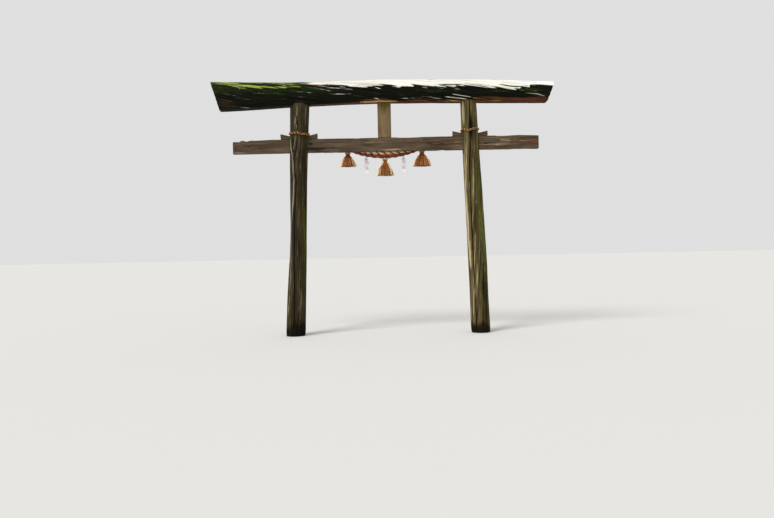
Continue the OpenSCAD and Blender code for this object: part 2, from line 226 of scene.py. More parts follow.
def as_object(bm: bmesh.types.BMesh, name: str) -> bpy.types.Object:
    """Makes an object of a bmesh.

    Args:
        bm: The bmesh, which is used up.
        name: The object's name.

    Returns:
        The object.
    """
    mesh = bpy.data.meshes.new(name)
    bm.to_mesh(mesh)
    bm.free()
    return placed(name, mesh)


def as_built(obj: bpy.types.Object) -> bpy.types.Mesh:
    """Returns a mesh of what an object's modifiers, or a curve's thickness, make of it."""
    bpy.context.view_layer.update()
    return bpy.data.meshes.new_from_object(obj.evaluated_get(bpy.context.evaluated_depsgraph_get()))


def tube_skin(name: str, sides: int, rings: int, cap_rings: int = 4) -> Skin:
    """Rolls a grid up into a tube of unit radius and length, welds its seam and caps its ends.

    Args:
        name: The object's name.
        sides: Faces round the tube.
        rings: Faces along it.
        cap_rings: Rings of faces in each end.

    Returns:
        The tube along +Z, with each vertex's direction in degrees, share of the length and share
        of the radius.
    """
    bm = bmesh.new()
    bmesh.ops.create_grid(bm, x_segments=sides, y_segments=rings, size=1)
    for vert in bm.verts:
        turn = (vert.co.x + 1) * math.pi
        vert.co = (math.cos(turn), math.sin(turn), (vert.co.y + 1) / 2)
    bmesh.ops.remove_doubles(bm, verts=bm.verts, dist=WELD)
    for end in (0.0, 1.0):
        rim = [edge for edge in bm.edges if edge.is_boundary and abs(edge.verts[0].co.z - end) < AT_END]
        moved = []
        for ring in range(cap_rings - 1, -1, -1):
            made = bmesh.ops.extrude_edge_only(bm, edges=rim)["geom"]
            rim = [item for item in made if isinstance(item, bmesh.types.BMEdge)]
            moved = [item for item in made if isinstance(item, bmesh.types.BMVert)]
            share = max(ring, 0.5) / (ring + 1)
            bmesh.ops.scale(bm, vec=(share, share, 1), verts=moved)
        bmesh.ops.pointmerge(bm, verts=moved, merge_co=(0, 0, end))
    bmesh.ops.recalc_face_normals(bm, faces=bm.faces)
    obj = as_object(bm, name)
    spots = positions(obj)
    angle = np.degrees(np.arctan2(spots[:, 1], spots[:, 0])) % 360
    return Skin(obj, angle, spots[:, 2].copy(), np.hypot(spots[:, 0], spots[:, 1]))


def vectors(items: bpy.types.bpy_prop_collection, name: str) -> Array:
    """Reads a vector from each of a mesh's vertices or faces.

    Args:
        items: The vertices or the faces.
        name: Which vector.

    Returns:
        A row for each.
    """
    found = np.zeros(len(items) * 3, np.float32)
    items.foreach_get(name, found)
    return found.reshape(-1, 3).astype(float)


def positions(obj: bpy.types.Object) -> Array:
    """Returns the places of an object's vertices, one row each."""
    return vectors(obj.data.vertices, "co")


def block(low: Sequence[float], high: Sequence[float]) -> bmesh.types.BMesh:
    """Makes a block.

    Args:
        low: Its lowest corner.
        high: Its highest corner.

    Returns:
        The block.
    """
    bm = bmesh.new()
    size = Vector(high) - Vector(low)
    place = Matrix.Translation((Vector(high) + Vector(low)) / 2) @ Matrix.Diagonal((*size, 1))
    bmesh.ops.create_cube(bm, size=1, matrix=place)
    return bm


def chamfered(low: Sequence[float], high: Sequence[float], arris: float) -> bmesh.types.BMesh:
    """Makes a block with its edges taken off.

    Args:
        low: Its lowest corner.
        high: Its highest corner.
        arris: How much is taken off each edge.

    Returns:
        The block.
    """
    bm = block(low, high)
    bmesh.ops.bevel(bm, geom=bm.edges, offset=arris, segments=2, profile=0.5, affect="EDGES", material=-1)
    return bm


def upright(x: float, width: float, thickness: float, low: float, high: float,
            gap: float = 0.0) -> tuple[tuple[float, ...], tuple[float, ...]]:
    """Works out where an upright block is that stands in the middle plane of the gate.

    Args:
        x: The block's middle.
        width: Its size along X.
        thickness: Its size along Y.
        low: Height of its underside.
        high: Height of its top.
        gap: What is added at each of its sides.

    Returns:
        Its lowest and its highest corner.
    """
    half_w, half_t = width / 2 + gap, thickness / 2 + gap
    return (x - half_w, -half_t, low), (x + half_w, half_t, high)


def carve(obj: bpy.types.Object, shape: bmesh.types.BMesh, operation: str = "DIFFERENCE") -> None:
    """Cuts a shape out of an object, or adds it.

    Args:
        obj: The object.
        shape: The shape, which is used up.
        operation: DIFFERENCE to cut it out, or UNION to add it.
    """
    tool = as_object(shape, "tool")
    modifier = obj.modifiers.new("carve", "BOOLEAN")
    modifier.operation = operation
    modifier.object = tool
    modifier.solver = "MANIFOLD"
    shaped = as_built(obj)
    obj.modifiers.clear()
    obj.data = shaped
    bpy.data.objects.remove(tool)


def joined(name: str, parts: Sequence[bpy.types.Object]) -> bpy.types.Object:
    """Makes one object of several, with their attributes.

    Args:
        name: Its name.
        parts: The several objects, which are removed.

    Returns:
        The one object.
    """
    bm = bmesh.new()
    for part in parts:
        bm.from_mesh(part.data)
        bpy.data.objects.remove(part)
    return as_object(bm, name)


def paint(obj: bpy.types.Object, name: str, values: Array, domain: str = "POINT") -> None:
    """Keeps a number or a vector for each vertex or face, which the materials read by name.

    Args:
        obj: The object.
        name: The name.
        values: A row for each vertex or face.
        domain: POINT for vertices or FACE for faces.
    """
    is_vector = values.ndim == 2
    layer = obj.data.attributes.new(name, "FLOAT_VECTOR" if is_vector else "FLOAT", domain)
    layer.data.foreach_set("vector" if is_vector else "value", values.astype(np.float32).ravel())


def settle(obj: bpy.types.Object, material: bpy.types.Material, node: str,
           crease: float) -> None:
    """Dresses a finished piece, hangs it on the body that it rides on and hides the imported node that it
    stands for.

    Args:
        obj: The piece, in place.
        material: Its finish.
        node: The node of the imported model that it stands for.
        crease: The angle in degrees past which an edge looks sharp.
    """
    obj.data.materials.clear()
    obj.data.materials.append(material)
    obj.data.shade_smooth()
    obj.data.set_sharp_from_angle(angle=math.radians(crease))
    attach(obj, "root")
    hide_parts(node)
    LOG.info("%s: %d faces", obj.name, len(obj.data.polygons))


# Ridges, cracks and stains that run along the grain

@dataclass(frozen=True)
class Streak:
    """A ridge, crack or stain along a piece of wood.

    Attributes:
        path: Places along it and across it: metres along, then degrees round a log or metres up.
        width: Distance from its middle to its edge.
        lift: Height above the wood round it, or depth below it if negative.
        pale: How far it is bleached. This and the other tones take away if they are negative.
        dark: How dark it is.
        moss: How much grows on it.
        stain: How reddish brown it is.
    """

    path: tuple[tuple[float, float], ...]
    width: float
    lift: float = 0.0
    pale: float = 0.0
    dark: float = 0.0
    moss: float = 0.0
    stain: float = 0.0

    def cover(self, along: Array, across: Array, unit: Array | float) -> Array:
        """Works out how well it covers each place.

        Args:
            along: Metres along the piece.
            across: Degrees round it, or metres across it.
            unit: Metres for each unit of across.

        Returns:
            From 0 at its edge to 1 on its line.
        """
        marks, line = np.array(self.path).T
        apart = np.abs((across - np.interp(along, marks, line) + 180) % 360 - 180) * unit
        run_out = min(8 * self.width, (marks[-1] - marks[0]) / 2)
        ends = smoothstep(np.minimum(along - marks[0], marks[-1] - along), 0, run_out)
        share = np.clip(1 - apart / (self.width * (0.35 + 0.65 * ends)), 0, 1)
        return share * share * (3 - 2 * share) * ends


TONES = ("lift", "pale", "dark", "moss", "stain")


def read_streaks(streaks: Sequence[Streak], along: Array, across: Array,
                 unit: Array | float) -> dict[str, Array]:
    """Adds up what the streaks do at each place.

    Args:
        streaks: The streaks.
        along: Metres along the piece.
        across: Degrees round it, or metres across it.
        unit: Metres for each unit of across.

    Returns:
        For each tone, its sum at each place.
    """
    sums = {tone: np.zeros(len(along)) for tone in TONES}
    for streak in streaks:
        share = streak.cover(along, across, unit)
        for tone in TONES:
            amount = getattr(streak, tone)
            if amount:
                sums[tone] += amount * share
    return sums


def keep_tones(obj: bpy.types.Object, grain: Array, tones: dict[str, Array], axis: int) -> None:
    """Keeps on a mesh what the wood's finish reads.

    Args:
        obj: The piece.
        grain: Each vertex's place in the grain.
        tones: Each tone at each vertex.
        axis: Number of the axis that the grain runs along. Faces square to it are end grain.
    """
    paint(obj, "grain", grain)
    for tone in TONES[1:]:
        paint(obj, tone, tones[tone])
    paint(obj, "end", np.abs(vectors(obj.data.polygons, "normal")[:, axis]) > END_FACING, "FACE")


def read_table(text: str) -> list[Streak]:
    """Reads streaks from a table.

    Args:
        text: A streak a line: its width, its lift and the names and amounts of its tones, then
            after a bar the places on its path.

    Returns:
        The streaks.
    """
    made = []
    for row in text.strip().splitlines():
        look, path = row.split("|")
        width, lift, *tones = look.split()
        amounts = dict(zip(tones[::2], map(float, tones[1::2])))
        places = tuple(tuple(map(float, place.split())) for place in path.split(","))
        made.append(Streak(places, float(width), float(lift), **amounts))
    return made


def scattered(seed: int, count: int, spans: tuple[float, float], directions: tuple[float, float],
              lengths: tuple[float, float], widths: tuple[float, float], lifts: tuple[float, float],
              drift: float = 0.0, **tones: float) -> list[Streak]:
    """Makes many like streaks at random.

    Args:
        seed: Which random draws.
        count: How many.
        spans: Lowest and highest place along the piece of a streak's middle.
        directions: Lowest and highest place across it.
        lengths: Shortest and longest.
        widths: Narrowest and widest, from middle to edge.
        lifts: Deepest and highest.
        drift: How far across a streak moves for each metre along.
        tones: Strengths of its tones.

    Returns:
        The streaks.
    """
    draw = random.Random(seed)
    made = []
    for _ in range(count):
        middle, direction = draw.uniform(*spans), draw.uniform(*directions)
        half = draw.uniform(*lengths) / 2
        bend = draw.uniform(-0.6, 0.6) * abs(drift)
        path = ((middle - half, direction - drift * half), (middle, direction + bend * half),
                (middle + half, direction + drift * half))
        strength = {tone: amount * draw.uniform(0.5, 1) for tone, amount in tones.items()}
        made.append(Streak(path, draw.uniform(*widths), draw.uniform(*lifts), **strength))
    return made


# Finishes

class Graph:
    """A material's node tree, with the few kinds of node that the finishes use."""

    def __init__(self, name: str, roughness: float, specular: float) -> None:
        """Starts a material.

        Args:
            name: Its name.
            roughness: How dull it is, from 0 to 1.
            specular: How strong its gloss is.
        """
        self.material = bpy.data.materials.new(name)
        self.material.use_nodes = True
        self.nodes = self.material.node_tree.nodes
        self.shader = self.nodes["Principled BSDF"]
        self.shader.inputs["Roughness"].default_value = roughness
        self.shader.inputs["Specular IOR Level"].default_value = specular

    def feed(self, socket: Socket, value: Feed) -> None:
        """Links a socket to another's output, or sets its value.

        Args:
            socket: The socket.
            value: The output or the value.
        """
        if isinstance(value, Socket):
            self.material.node_tree.links.new(value, socket)
        else:
            socket.default_value = value

    def add(self, kind: str, inputs: dict[str | int, Feed], **settings: str) -> bpy.types.Node:
        """Adds a node.

        Args:
            kind: Its kind, without the words that every kind begins with.
            inputs: What each of its inputs is fed.
            settings: Its other settings.

        Returns:
            The node.
        """
        node = self.nodes.new(f"ShaderNode{kind}")
        for name, setting in settings.items():
            setattr(node, name, setting)
        for name, value in inputs.items():
            self.feed(node.inputs[name], value)
        return node

    def attribute(self, name: str, output: str = "Fac") -> Socket:
        """Reads what paint() kept."""
        return self.add("Attribute", {}, attribute_name=name).outputs[output]

    def math(self, operation: str, first: Feed, second: Feed) -> Socket:
        """Works out a number."""
        return self.add("Math", {0: first, 1: second}, operation=operation).outputs[0]

    def plus(self, first: Feed, second: Feed) -> Socket:
        """Adds two numbers."""
        return self.math("ADD", first, second)

    def times(self, first: Feed, second: Feed) -> Socket:
        """Multiplies two numbers."""
        return self.math("MULTIPLY", first, second)

    def noise(self, place: Socket, scales: tuple[float, float, float], detail: float = 3,
              roughness: float = 0.6, shift: float = 0.0) -> Socket:
        """Adds noise.

        Args:
            place: Where.
            scales: Its features in a metre along each axis.
            detail: How many finer ones are added.
            roughness: How strong those are.
            shift: How far it is moved.

        Returns:
            A value from 0 to 1, mostly near 0.5.
        """
        spot = self.add("VectorMath", {0: place, 1: scales, 2: (shift,) * 3}, operation="MULTIPLY_ADD")
        return self.add("TexNoise", {"Scale": 1, "Detail": detail, "Roughness": roughness,
                                     "Vector": spot.outputs["Vector"]}).outputs["Fac"]

    def between(self, value: Feed, low: float, high: float) -> Socket:
        """Adds a smooth step.

        Args:
            value: What it reads.
            low: Where it is 0.
            high: Where it is 1, which may be the lower of the two.

        Returns:
            A value from 0 to 1.
        """
        inputs = {"Value": value, "From Min": min(low, high), "From Max": max(low, high),
                  "To Min": float(low > high), "To Max": float(low < high)}
        return self.add("MapRange", inputs, interpolation_type="SMOOTHSTEP").outputs["Result"]

    def mix(self, share: Feed, first: Feed, second: Feed) -> Socket:
        """Mixes two colours."""
        return self.add("Mix", {0: share, 6: first, 7: second}, data_type="RGBA").outputs[2]

    def ramp(self, value: Feed, places: Sequence[float], codes: Sequence[str]) -> Socket:
        """Turns a number into a colour.

        Args:
            value: The number.
            places: Numbers in rising order.
            codes: The colours that they turn into, with blends between them.

        Returns:
            The colour.
        """
        node = self.add("ValToRGB", {"Fac": value})
        points = node.color_ramp.elements
        while len(points) < len(places):
            points.new(0.5)
        for point, place, code in zip(points, places, codes):
            point.position = place
            point.color = srgb(code)
        return node.outputs["Color"]

    def finish(self, colour: Feed, height: Feed, strength: float, distance: float) -> bpy.types.Material:
        """Feeds the shader its colour and its relief.

        Args:
            colour: The colour.
            height: The relief.
            strength: How strongly the relief shows, from 0 to 1.
            distance: Its depth in metres.

        Returns:
            The material.
        """
        bump = self.add("Bump", {"Strength": strength, "Distance": distance, "Height": height})
        self.feed(self.shader.inputs["Base Color"], colour)
        self.feed(self.shader.inputs["Normal"], bump.outputs["Normal"])
        return self.material


@dataclass(frozen=True)
class WoodFinish:
    """Weathered wood with fibres along its grain, drying checks, stains, bleached places and moss.

    Attributes:
        name: The material's name.
        browns: Its dark, middle and light brown.
        bleached: The dull and the bright colour of bleached wood; on the lintel's top and the right post's left
            side they are partly painted sunlight.
        stained: The colour of its reddish places.
        mossy: The dark and the bright colour of what grows on it.
        golden: The colour of wood that is both stained and bleached.
        fibres: Coarse fibres in a metre across the grain.
        rings: How close its growth rings are, in radians of their wave in a metre.
        stain_from: How rare stains are: the noise value past which they begin.
        bump: Depth of the relief of the fibres.
    """

    name: str
    browns: tuple[str, str, str]
    bleached: tuple[str, str]
    stained: str
    mossy: tuple[str, str]
    golden: str = "b08448"
    fibres: float = 60
    rings: float = 1100
    stain_from: float = 0.56
    bump: float = 0.004

    @cache
    def build(self) -> bpy.types.Material:
        """Makes the material, once.

        Returns:
            The material.
        """
        graph = Graph(self.name, roughness=0.9, specular=0.08)
        plus, times, between, noise = graph.plus, graph.times, graph.between, graph.noise
        grain = graph.attribute("grain", "Vector")
        wide, long = self.fibres, self.fibres * 0.03
        fibre = noise(grain, (wide, wide, long), detail=6, roughness=0.65)
        hair = noise(grain, (wide * 5, wide * 5, long * 4), detail=2, shift=5)
        patch = noise(grain, (7, 7, 1.3), detail=3, shift=9)
        tone = plus(plus(times(fibre, 0.5), times(patch, 0.3)), times(hair, 0.2))
        colour = graph.ramp(tone, (0.38, 0.5, 0.62), self.browns)

        # Reddish stains, where they are painted and here and there
        blot = noise(grain, (5, 5, 1.6), detail=4, shift=17)
        stain = times(between(blot, self.stain_from, self.stain_from + 0.12), 0.75)
        stain = graph.math("MAXIMUM", stain, self.ragged(graph, "stain", fibre))
        colour = graph.mix(stain, colour, graph.ramp(tone, (0.4, 0.56), (self.browns[0], self.stained)))

        # Growth rings on end grain
        across = graph.add("VectorMath", {0: grain, 1: (1.0, 1.0, 0.0)}, operation="MULTIPLY").outputs["Vector"]
        away = graph.add("VectorMath", {0: across}, operation="LENGTH").outputs["Value"]
        rings = graph.math("SINE", plus(times(away, self.rings), times(patch, 9)), 0.0)
        end = times(graph.attribute("end"), between(rings, -1.4, 1.6))
        colour = graph.mix(times(end, 0.6), colour, srgb(self.bleached[0]))

        # Bleached places, golden where they are stained, and drying checks darkened as painted shade
        pale = graph.ramp(tone, (0.4, 0.58), self.bleached)
        pale = graph.mix(between(graph.attribute("stain"), 0.2, 0.9), pale, srgb(self.golden))
        colour = graph.mix(self.ragged(graph, "pale", fibre), colour, pale)
        check = between(noise(grain, (wide * 1.4, wide * 1.4, 1.1), detail=2, shift=3), 0.36, 0.31)
        colour = graph.mix(times(check, 0.75), colour, srgb(self.browns[0]))

        # Moss in tufts, brighter where its amount is high, partly thick moss and partly painted light on the
        # lintel's lit top, and places painted dark, partly with rot, dirt and damp and partly as painted shade
        tuft = noise(grain, (60, 60, 9), detail=4, shift=23)
        grown = graph.attribute("moss")
        moss = between(plus(grown, plus(tuft, -0.5)), 0.36, 0.72)
        lush_and_lit = times(plus(grown, -0.95), 0.9)
        colour = graph.mix(moss, colour, graph.ramp(plus(tuft, lush_and_lit), (0.36, 0.66), self.mossy))
        shade = times(between(graph.attribute("dark"), 0.0, 1.0), 0.92)
        colour = graph.mix(shade, colour, srgb("0b0906"))
        height = plus(plus(fibre, times(hair, 0.4)), times(check, -0.5))
        height = plus(height, times(times(moss, tuft), 1.4))
        return graph.finish(colour, height, strength=0.9, distance=self.bump)

    def ragged(self, graph: Graph, name: str, fibre: Socket) -> Socket:
        """Reads a tone and frays its edges along the fibres."""
        frayed = graph.times(graph.plus(fibre, -0.5), 2.2)
        return graph.between(graph.plus(graph.attribute(name), frayed), 0.28, 0.72)


@dataclass(frozen=True)
class StrawFinish:
    """Dry rice straw: fibres from brown to cream with a soft sheen, lightened and darkened by the painted
    highlights and painted shade kept on the mesh.

    Attributes:
        name: The material's name.
        straws: Its colours from the darkest to the brightest.
        sheen: Strength of the light that its loose fibres catch.
    """

    name: str
    straws: tuple[str, str, str, str]
    sheen: float = 0.5

    @cache
    def build(self) -> bpy.types.Material:
        """Makes the material, once.

        Returns:
            The material.
        """
        graph = Graph(self.name, roughness=0.62, specular=0.35)
        graph.shader.inputs["Sheen Weight"].default_value = self.sheen
        graph.shader.inputs["Sheen Roughness"].default_value = 0.45
        graph.shader.inputs["Sheen Tint"].default_value = srgb("fff0cf")
        grain = graph.attribute("grain", "Vector")
        fibre = graph.noise(grain, (330, 330, 14), detail=3, roughness=0.55)
        clump = graph.noise(grain, (60, 60, 5), detail=2, shift=4)
        tone = graph.plus(graph.times(fibre, 0.55), graph.times(clump, 0.45))
        # The painted highlights and painted shade kept on the mesh as 'bright', with each straw's own tone,
        # lighten or darken the straw
        tone = graph.plus(tone, graph.times(graph.attribute("bright"), 0.3))
        colour = graph.ramp(tone, (0.34, 0.5, 0.62, 0.8), self.straws)
        return graph.finish(colour, fibre, strength=0.8, distance=0.003)


@dataclass(frozen=True)
class PaperFinish:
    """Thin white paper, a little uneven, painted pinkish grey as painted shade.

    Attributes:
        name: The material's name.
    """

    name: str = "folded_paper"

    @cache
    def build(self) -> bpy.types.Material:
        """Makes the material, once.

        Returns:
            The material.
        """
        graph = Graph(self.name, roughness=0.75, specular=0.3)
        place = graph.add("TexCoord", {}).outputs["Object"]
        cloud = graph.noise(place, (40, 40, 40), detail=4)
        fibre = graph.noise(place, (700, 700, 700), detail=2)
        # The white paper is painted pinkish grey, as painted shade
        colour = graph.ramp(cloud, (0.3, 0.7), ("d8ccd4", "eae2e8"))
        return graph.finish(colour, fibre, strength=0.3, distance=0.0006)


# The view and the studio

@dataclass
class Viewpoint:
    """The camera where the gate is seen from, on the path in front of it.

    Attributes:
        place: The eye's place.
        pitch: How far it looks down, in degrees.
        roll: How far the picture's content is turned counter-clockwise, in degrees.
        lens: The focal length in millimetres for a sensor 36 mm wide.
    """

    place: tuple[float, float, float] = (1.620, -13.0, 1.556)
    pitch: float = 1.08
    roll: float = 1.13
    lens: float = 34.6

    def build(self) -> None:
        """Makes the camera the scene's."""
        data = bpy.data.cameras.new("viewpoint")
        data.lens = self.lens
        data.sensor_width = 36
        camera = placed("viewpoint", data)
        turn = Matrix.Rotation(math.radians(90 - self.pitch), 4, "X")
        turn = turn @ Matrix.Rotation(math.radians(-self.roll), 4, "Z")
        camera.matrix_world = Matrix.Translation(self.place) @ turn
        bpy.context.scene.camera = camera


@dataclass
class Studio:
    """A pale floor and plain soft light.

    Attributes:
        floor_size: Length of the floor's side.
        floor_colour: The floor's colour.
        sky: Strength of the even light from all round.
        backdrop: Brightness of what is seen behind the gate.
        sun: Strength of the key light from above.
        sun_turn: The key light's turn from straight down, in degrees about X, Y and Z.
        sun_spread: The key light's width, in degrees.
    """

    floor_size: float = 160.0
    floor_colour: str = "d6d5d1"
    sky: float = 0.68
    backdrop: float = 0.74
    sun: float = 2.3
    sun_turn: tuple[float, float, float] = (32, -34, 0)
    sun_spread: float = 24.0

    def build(self) -> None:
        """Makes the floor, the world and the lamp."""
        bm = bmesh.new()
        bmesh.ops.create_grid(bm, x_segments=1, y_segments=1, size=self.floor_size / 2)
        floor = as_object(bm, "floor")
        graph = Graph("floor", roughness=0.95, specular=0.1)
        graph.shader.inputs["Base Color"].default_value = srgb(self.floor_colour)
        floor.data.materials.append(graph.material)
        self.build_world()
        data = bpy.data.lights.new("key", "SUN")
        data.energy = self.sun
        data.angle = math.radians(self.sun_spread)
        lamp = placed("key", data)
        lamp.rotation_euler = Euler([math.radians(turn) for turn in self.sun_turn])
        bpy.context.scene.view_settings.view_transform = "Standard"

    def build_world(self) -> None:
        """Lights the gate evenly, and shows a pale backdrop to the camera."""
        world = bpy.data.worlds.new("studio")
        bpy.context.scene.world = world
        world.use_nodes = True
        nodes, links = world.node_tree.nodes, world.node_tree.links
        light, seen = nodes["Background"], nodes.new("ShaderNodeBackground")
        for node, strength in ((light, self.sky), (seen, self.backdrop)):
            node.inputs["Color"].default_value = (1, 1, 1, 1)
            node.inputs["Strength"].default_value = strength
        path, mix, either = (nodes.new(f"ShaderNode{kind}") for kind in ("LightPath", "MixShader", "Math"))
        either.operation = "MAXIMUM"
        for source, target in ((path.outputs["Is Camera Ray"], either.inputs[0]),
                               (path.outputs["Is Glossy Ray"], either.inputs[1]),
                               (either.outputs[0], mix.inputs["Fac"]),
                               (light.outputs["Background"], mix.inputs[1]),
                               (seen.outputs["Background"], mix.inputs[2]),
                               (mix.outputs["Shader"], nodes["World Output"].inputs["Surface"])):
            links.new(source, target)


# Logs

def growth_loss(angle: Array, distance: Array) -> Array:
    """Works out how a log's uneven growth takes it in.

    Args:
        angle: Direction round the log, in degrees.
        distance: Metres along it.

    Returns:
        The loss at each place, from 0 to 1.
    """
    loss = np.full(len(angle), 0.5)
    for size, lobes, drift, shift in ((0.2, 2, 43.5, 0), (0.15, 3, -90.9, 0), (0.1, 5, 142.9, 40),
                                      (0.05, 9, -250.0, 0)):
        loss -= size * np.cos(np.radians(lobes * angle + drift * distance + shift))
    return loss


def log_relief(grain: Array, seed: int, scales: Sequence[tuple[float, float]]) -> list[Array]:
    """Draws a log's lumps, fibres and drying checks.

    Args:
        grain: Places in the log as the grain has them.
        seed: Which random relief.
        scales: For each kind, how many in a metre across the grain and along it.

    Returns:
        Lumps and fibres from -0.5 to 0.5, and checks from 0 to 1.
    """
    octaves = (3, 4, 2)
    lump, fibre, check = (rough_noise(grain * (wide, wide, long), seed + number, octaves[number])
                          for number, (wide, long) in enumerate(scales))
    return [lump - 0.5, fibre - 0.5, smoothstep(check, 0.35, 0.26)]


def polar(turn: Array, distance: Array | float, along: Array) -> Array:
    """Returns places from their directions, their distances from an axis and their places along it."""
    return np.column_stack([np.cos(turn) * distance, np.sin(turn) * distance, along])


class Side(Enum):
    """The two posts. Each one's value is the way along X that it leans."""

    LEFT = 1
    RIGHT = -1

    @property
    def bow(self) -> float:
        """How far its log is bowed along +X, below the beam."""
        return 0.013 if self is Side.LEFT else 0.010

    def axis_x(self, z: Array | float) -> Array | float:
        """Works out where the post's axis is.

        Args:
            z: A height or heights.

        Returns:
            Its place along X at each.
        """
        foot = 0.0 if self is Side.LEFT else POST_SPACING
        bowed = self.bow * np.sin(math.pi * np.clip(z / BEAM_LOW.z, 0, 1)) ** 2
        return foot + self.value * z * math.tan(LEAN) + bowed


@dataclass
class Post:
    """A leaning log, with a tenon on top and a mortise for the tie beam and its wedges.

    Attributes:
        side: Which post it is.
        diameters: Its diameters at the ground, halfway up and under the lintel.
        streaks: What runs along its grain, by height and direction: 270 faces the approach.
        finish: Its finish.
        seed: Which random relief it has.
        damp: Height that the ground's damp reaches.
        mossy: Directions between which moss grows, and how much.
        sides: Faces round it.
        rings: Faces along it.
        uneven: How far its growth takes it in, as a share of its radius.
        foot_wear: Loss of radius at the ground.
        foot_wear_h: Height of the worn foot.
        grain_turn: Degrees that its grain turns from the ground to the lintel.
        relief: Heights of its lumps and fibres, and depth of its drying checks.
        scales: How many of each there are in a metre, across the grain and along it.
    """

    side: Side
    diameters: tuple[float, float, float]
    streaks: Sequence[Streak]
    finish: WoodFinish
    seed: int
    damp: float
    mossy: tuple[float, float, float]
    sides: int = 256
    rings: int = 240
    uneven: float = 0.03
    foot_wear: float = 0.009
    foot_wear_h: float = 0.110
    grain_turn: float = 24.0
    relief: tuple[float, float, float] = (0.012, 0.008, 0.008)
    scales: tuple[tuple[float, float], ...] = ((9, 1.5), (46, 1.3), (36, 0.7))

    @property
    def node(self) -> str:
        """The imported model's name for it."""
        return f"{self.side.name.lower()}_post"

    def grain(self, angle: Array, z: Array, distance: Array) -> Array:
        """Returns places in the log as the grain has them: it turns as it rises."""
        return polar(np.radians(angle - self.grain_turn * z / SEAT_H), distance, z)

    def surface(self, angle: Array, z: Array) -> tuple[Array, dict[str, Array]]:
        """Works out the log's surface.

        Args:
            angle: Direction from its axis, in degrees.
            z: Height.

        Returns:
            The distance from the axis and the tones at each place.
        """
        radius = through(self.diameters, z / SEAT_H) / 2
        grain = self.grain(angle, z, radius)
        lump, fibre, check = log_relief(grain, self.seed, self.scales)
        tones = read_streaks(self.streaks, z, angle, radius * math.pi / 180)
        grown = angle if self.side is Side.LEFT else 180 - angle
        loss = radius * self.uneven * growth_loss(grown, z)
        loss += self.foot_wear * np.clip(1 - z / self.foot_wear_h, 0, 1) ** 2
        lump_h, fibre_h, check_h = self.relief
        lift = tones["lift"] + lump_h * lump + fibre_h * fibre - check_h * check

        # Damp climbs unevenly from the ground and darkens the wood; checks and the hollows between fibres are
        # darkened as painted shade, and raised fibres are paler
        wet = smoothstep(z + 0.9 * lump * self.damp, self.damp, 0.3 * self.damp)
        tones["dark"] += 0.45 * check + 0.5 * smoothstep(-fibre, 0.08, 0.26) + 0.9 * wet
        tones["pale"] += 0.2 * smoothstep(fibre, 0.02, 0.22) - 0.7 * wet

        # Moss grows on one side, from just over the ground to the beam
        middle, spread, amount = self.mossy
        facing = smoothstep(np.abs((angle - middle + 180) % 360 - 180), spread, 0.4 * spread)
        low = smoothstep(z, 3.3, 2.2) * smoothstep(z, 0.1, 0.5)
        tones["moss"] += amount * facing * low * smoothstep(lump, -0.2, 0.05)
        tones["moss"] = np.minimum(tones["moss"], 0.9)
        return radius - loss + lift, tones

    def build(self) -> None:
        """Makes the post."""
        skin = tube_skin(f"{self.node}_log", self.sides, self.rings)
        z = skin.along * SEAT_H
        angle = skin.angle + self.grain_turn * skin.along
        distance = self.surface(angle, z)[0] * skin.reach
        turn = np.radians(angle)
        obj = skin.place(np.column_stack([self.side.axis_x(z) + distance * np.cos(turn),
                                          distance * np.sin(turn), z]))
        self.join(obj)
        points = positions(obj)
        z = points[:, 2]
        across = points[:, 0] - self.side.axis_x(z)
        angle = np.degrees(np.arctan2(points[:, 1], across)) % 360
        keep_tones(obj, self.grain(angle, z, np.hypot(across, points[:, 1])), self.surface(angle, z)[1], 2)
        settle(obj, self.finish.build(), self.node, crease=50)

    def join(self, obj: bpy.types.Object) -> None:
        """Adds the tenon and cuts the mortise.

        Args:
            obj: The post.
        """
        tenon = upright(self.side.axis_x(SEAT_H), TENON_W, TENON_W, SEAT_H - TENON_ROOT, SEAT_H + TENON_H)
        carve(obj, chamfered(*tenon, 0.003), "UNION")
        beam_x, reach = self.side.axis_x(BEAM_HIGH.z), self.diameters[0]
        width = BEAM_HIGH.y + JOINT_GAP
        carve(obj, block((beam_x - reach, -width, BEAM_LOW.z), (beam_x + reach, width, BEAM_HIGH.z)))
        width = BEAM_HIGH.y - WEDGE_THINNER / 2 + JOINT_GAP
        bm = block((beam_x - reach, -width, BEAM_HIGH.z - 0.01),
                   (beam_x + reach, width, BEAM_HIGH.z + WEDGE_TIP_H))
        bmesh.ops.subdivide_edges(bm, edges=[edge for edge in bm.edges if along_axis(edge, 0)], cuts=1)
        for vert in bm.verts:
            if vert.co.z > BEAM_HIGH.z:
                vert.co.z += WEDGE_SLOPE * abs(vert.co.x - beam_x)
        carve(obj, bm)


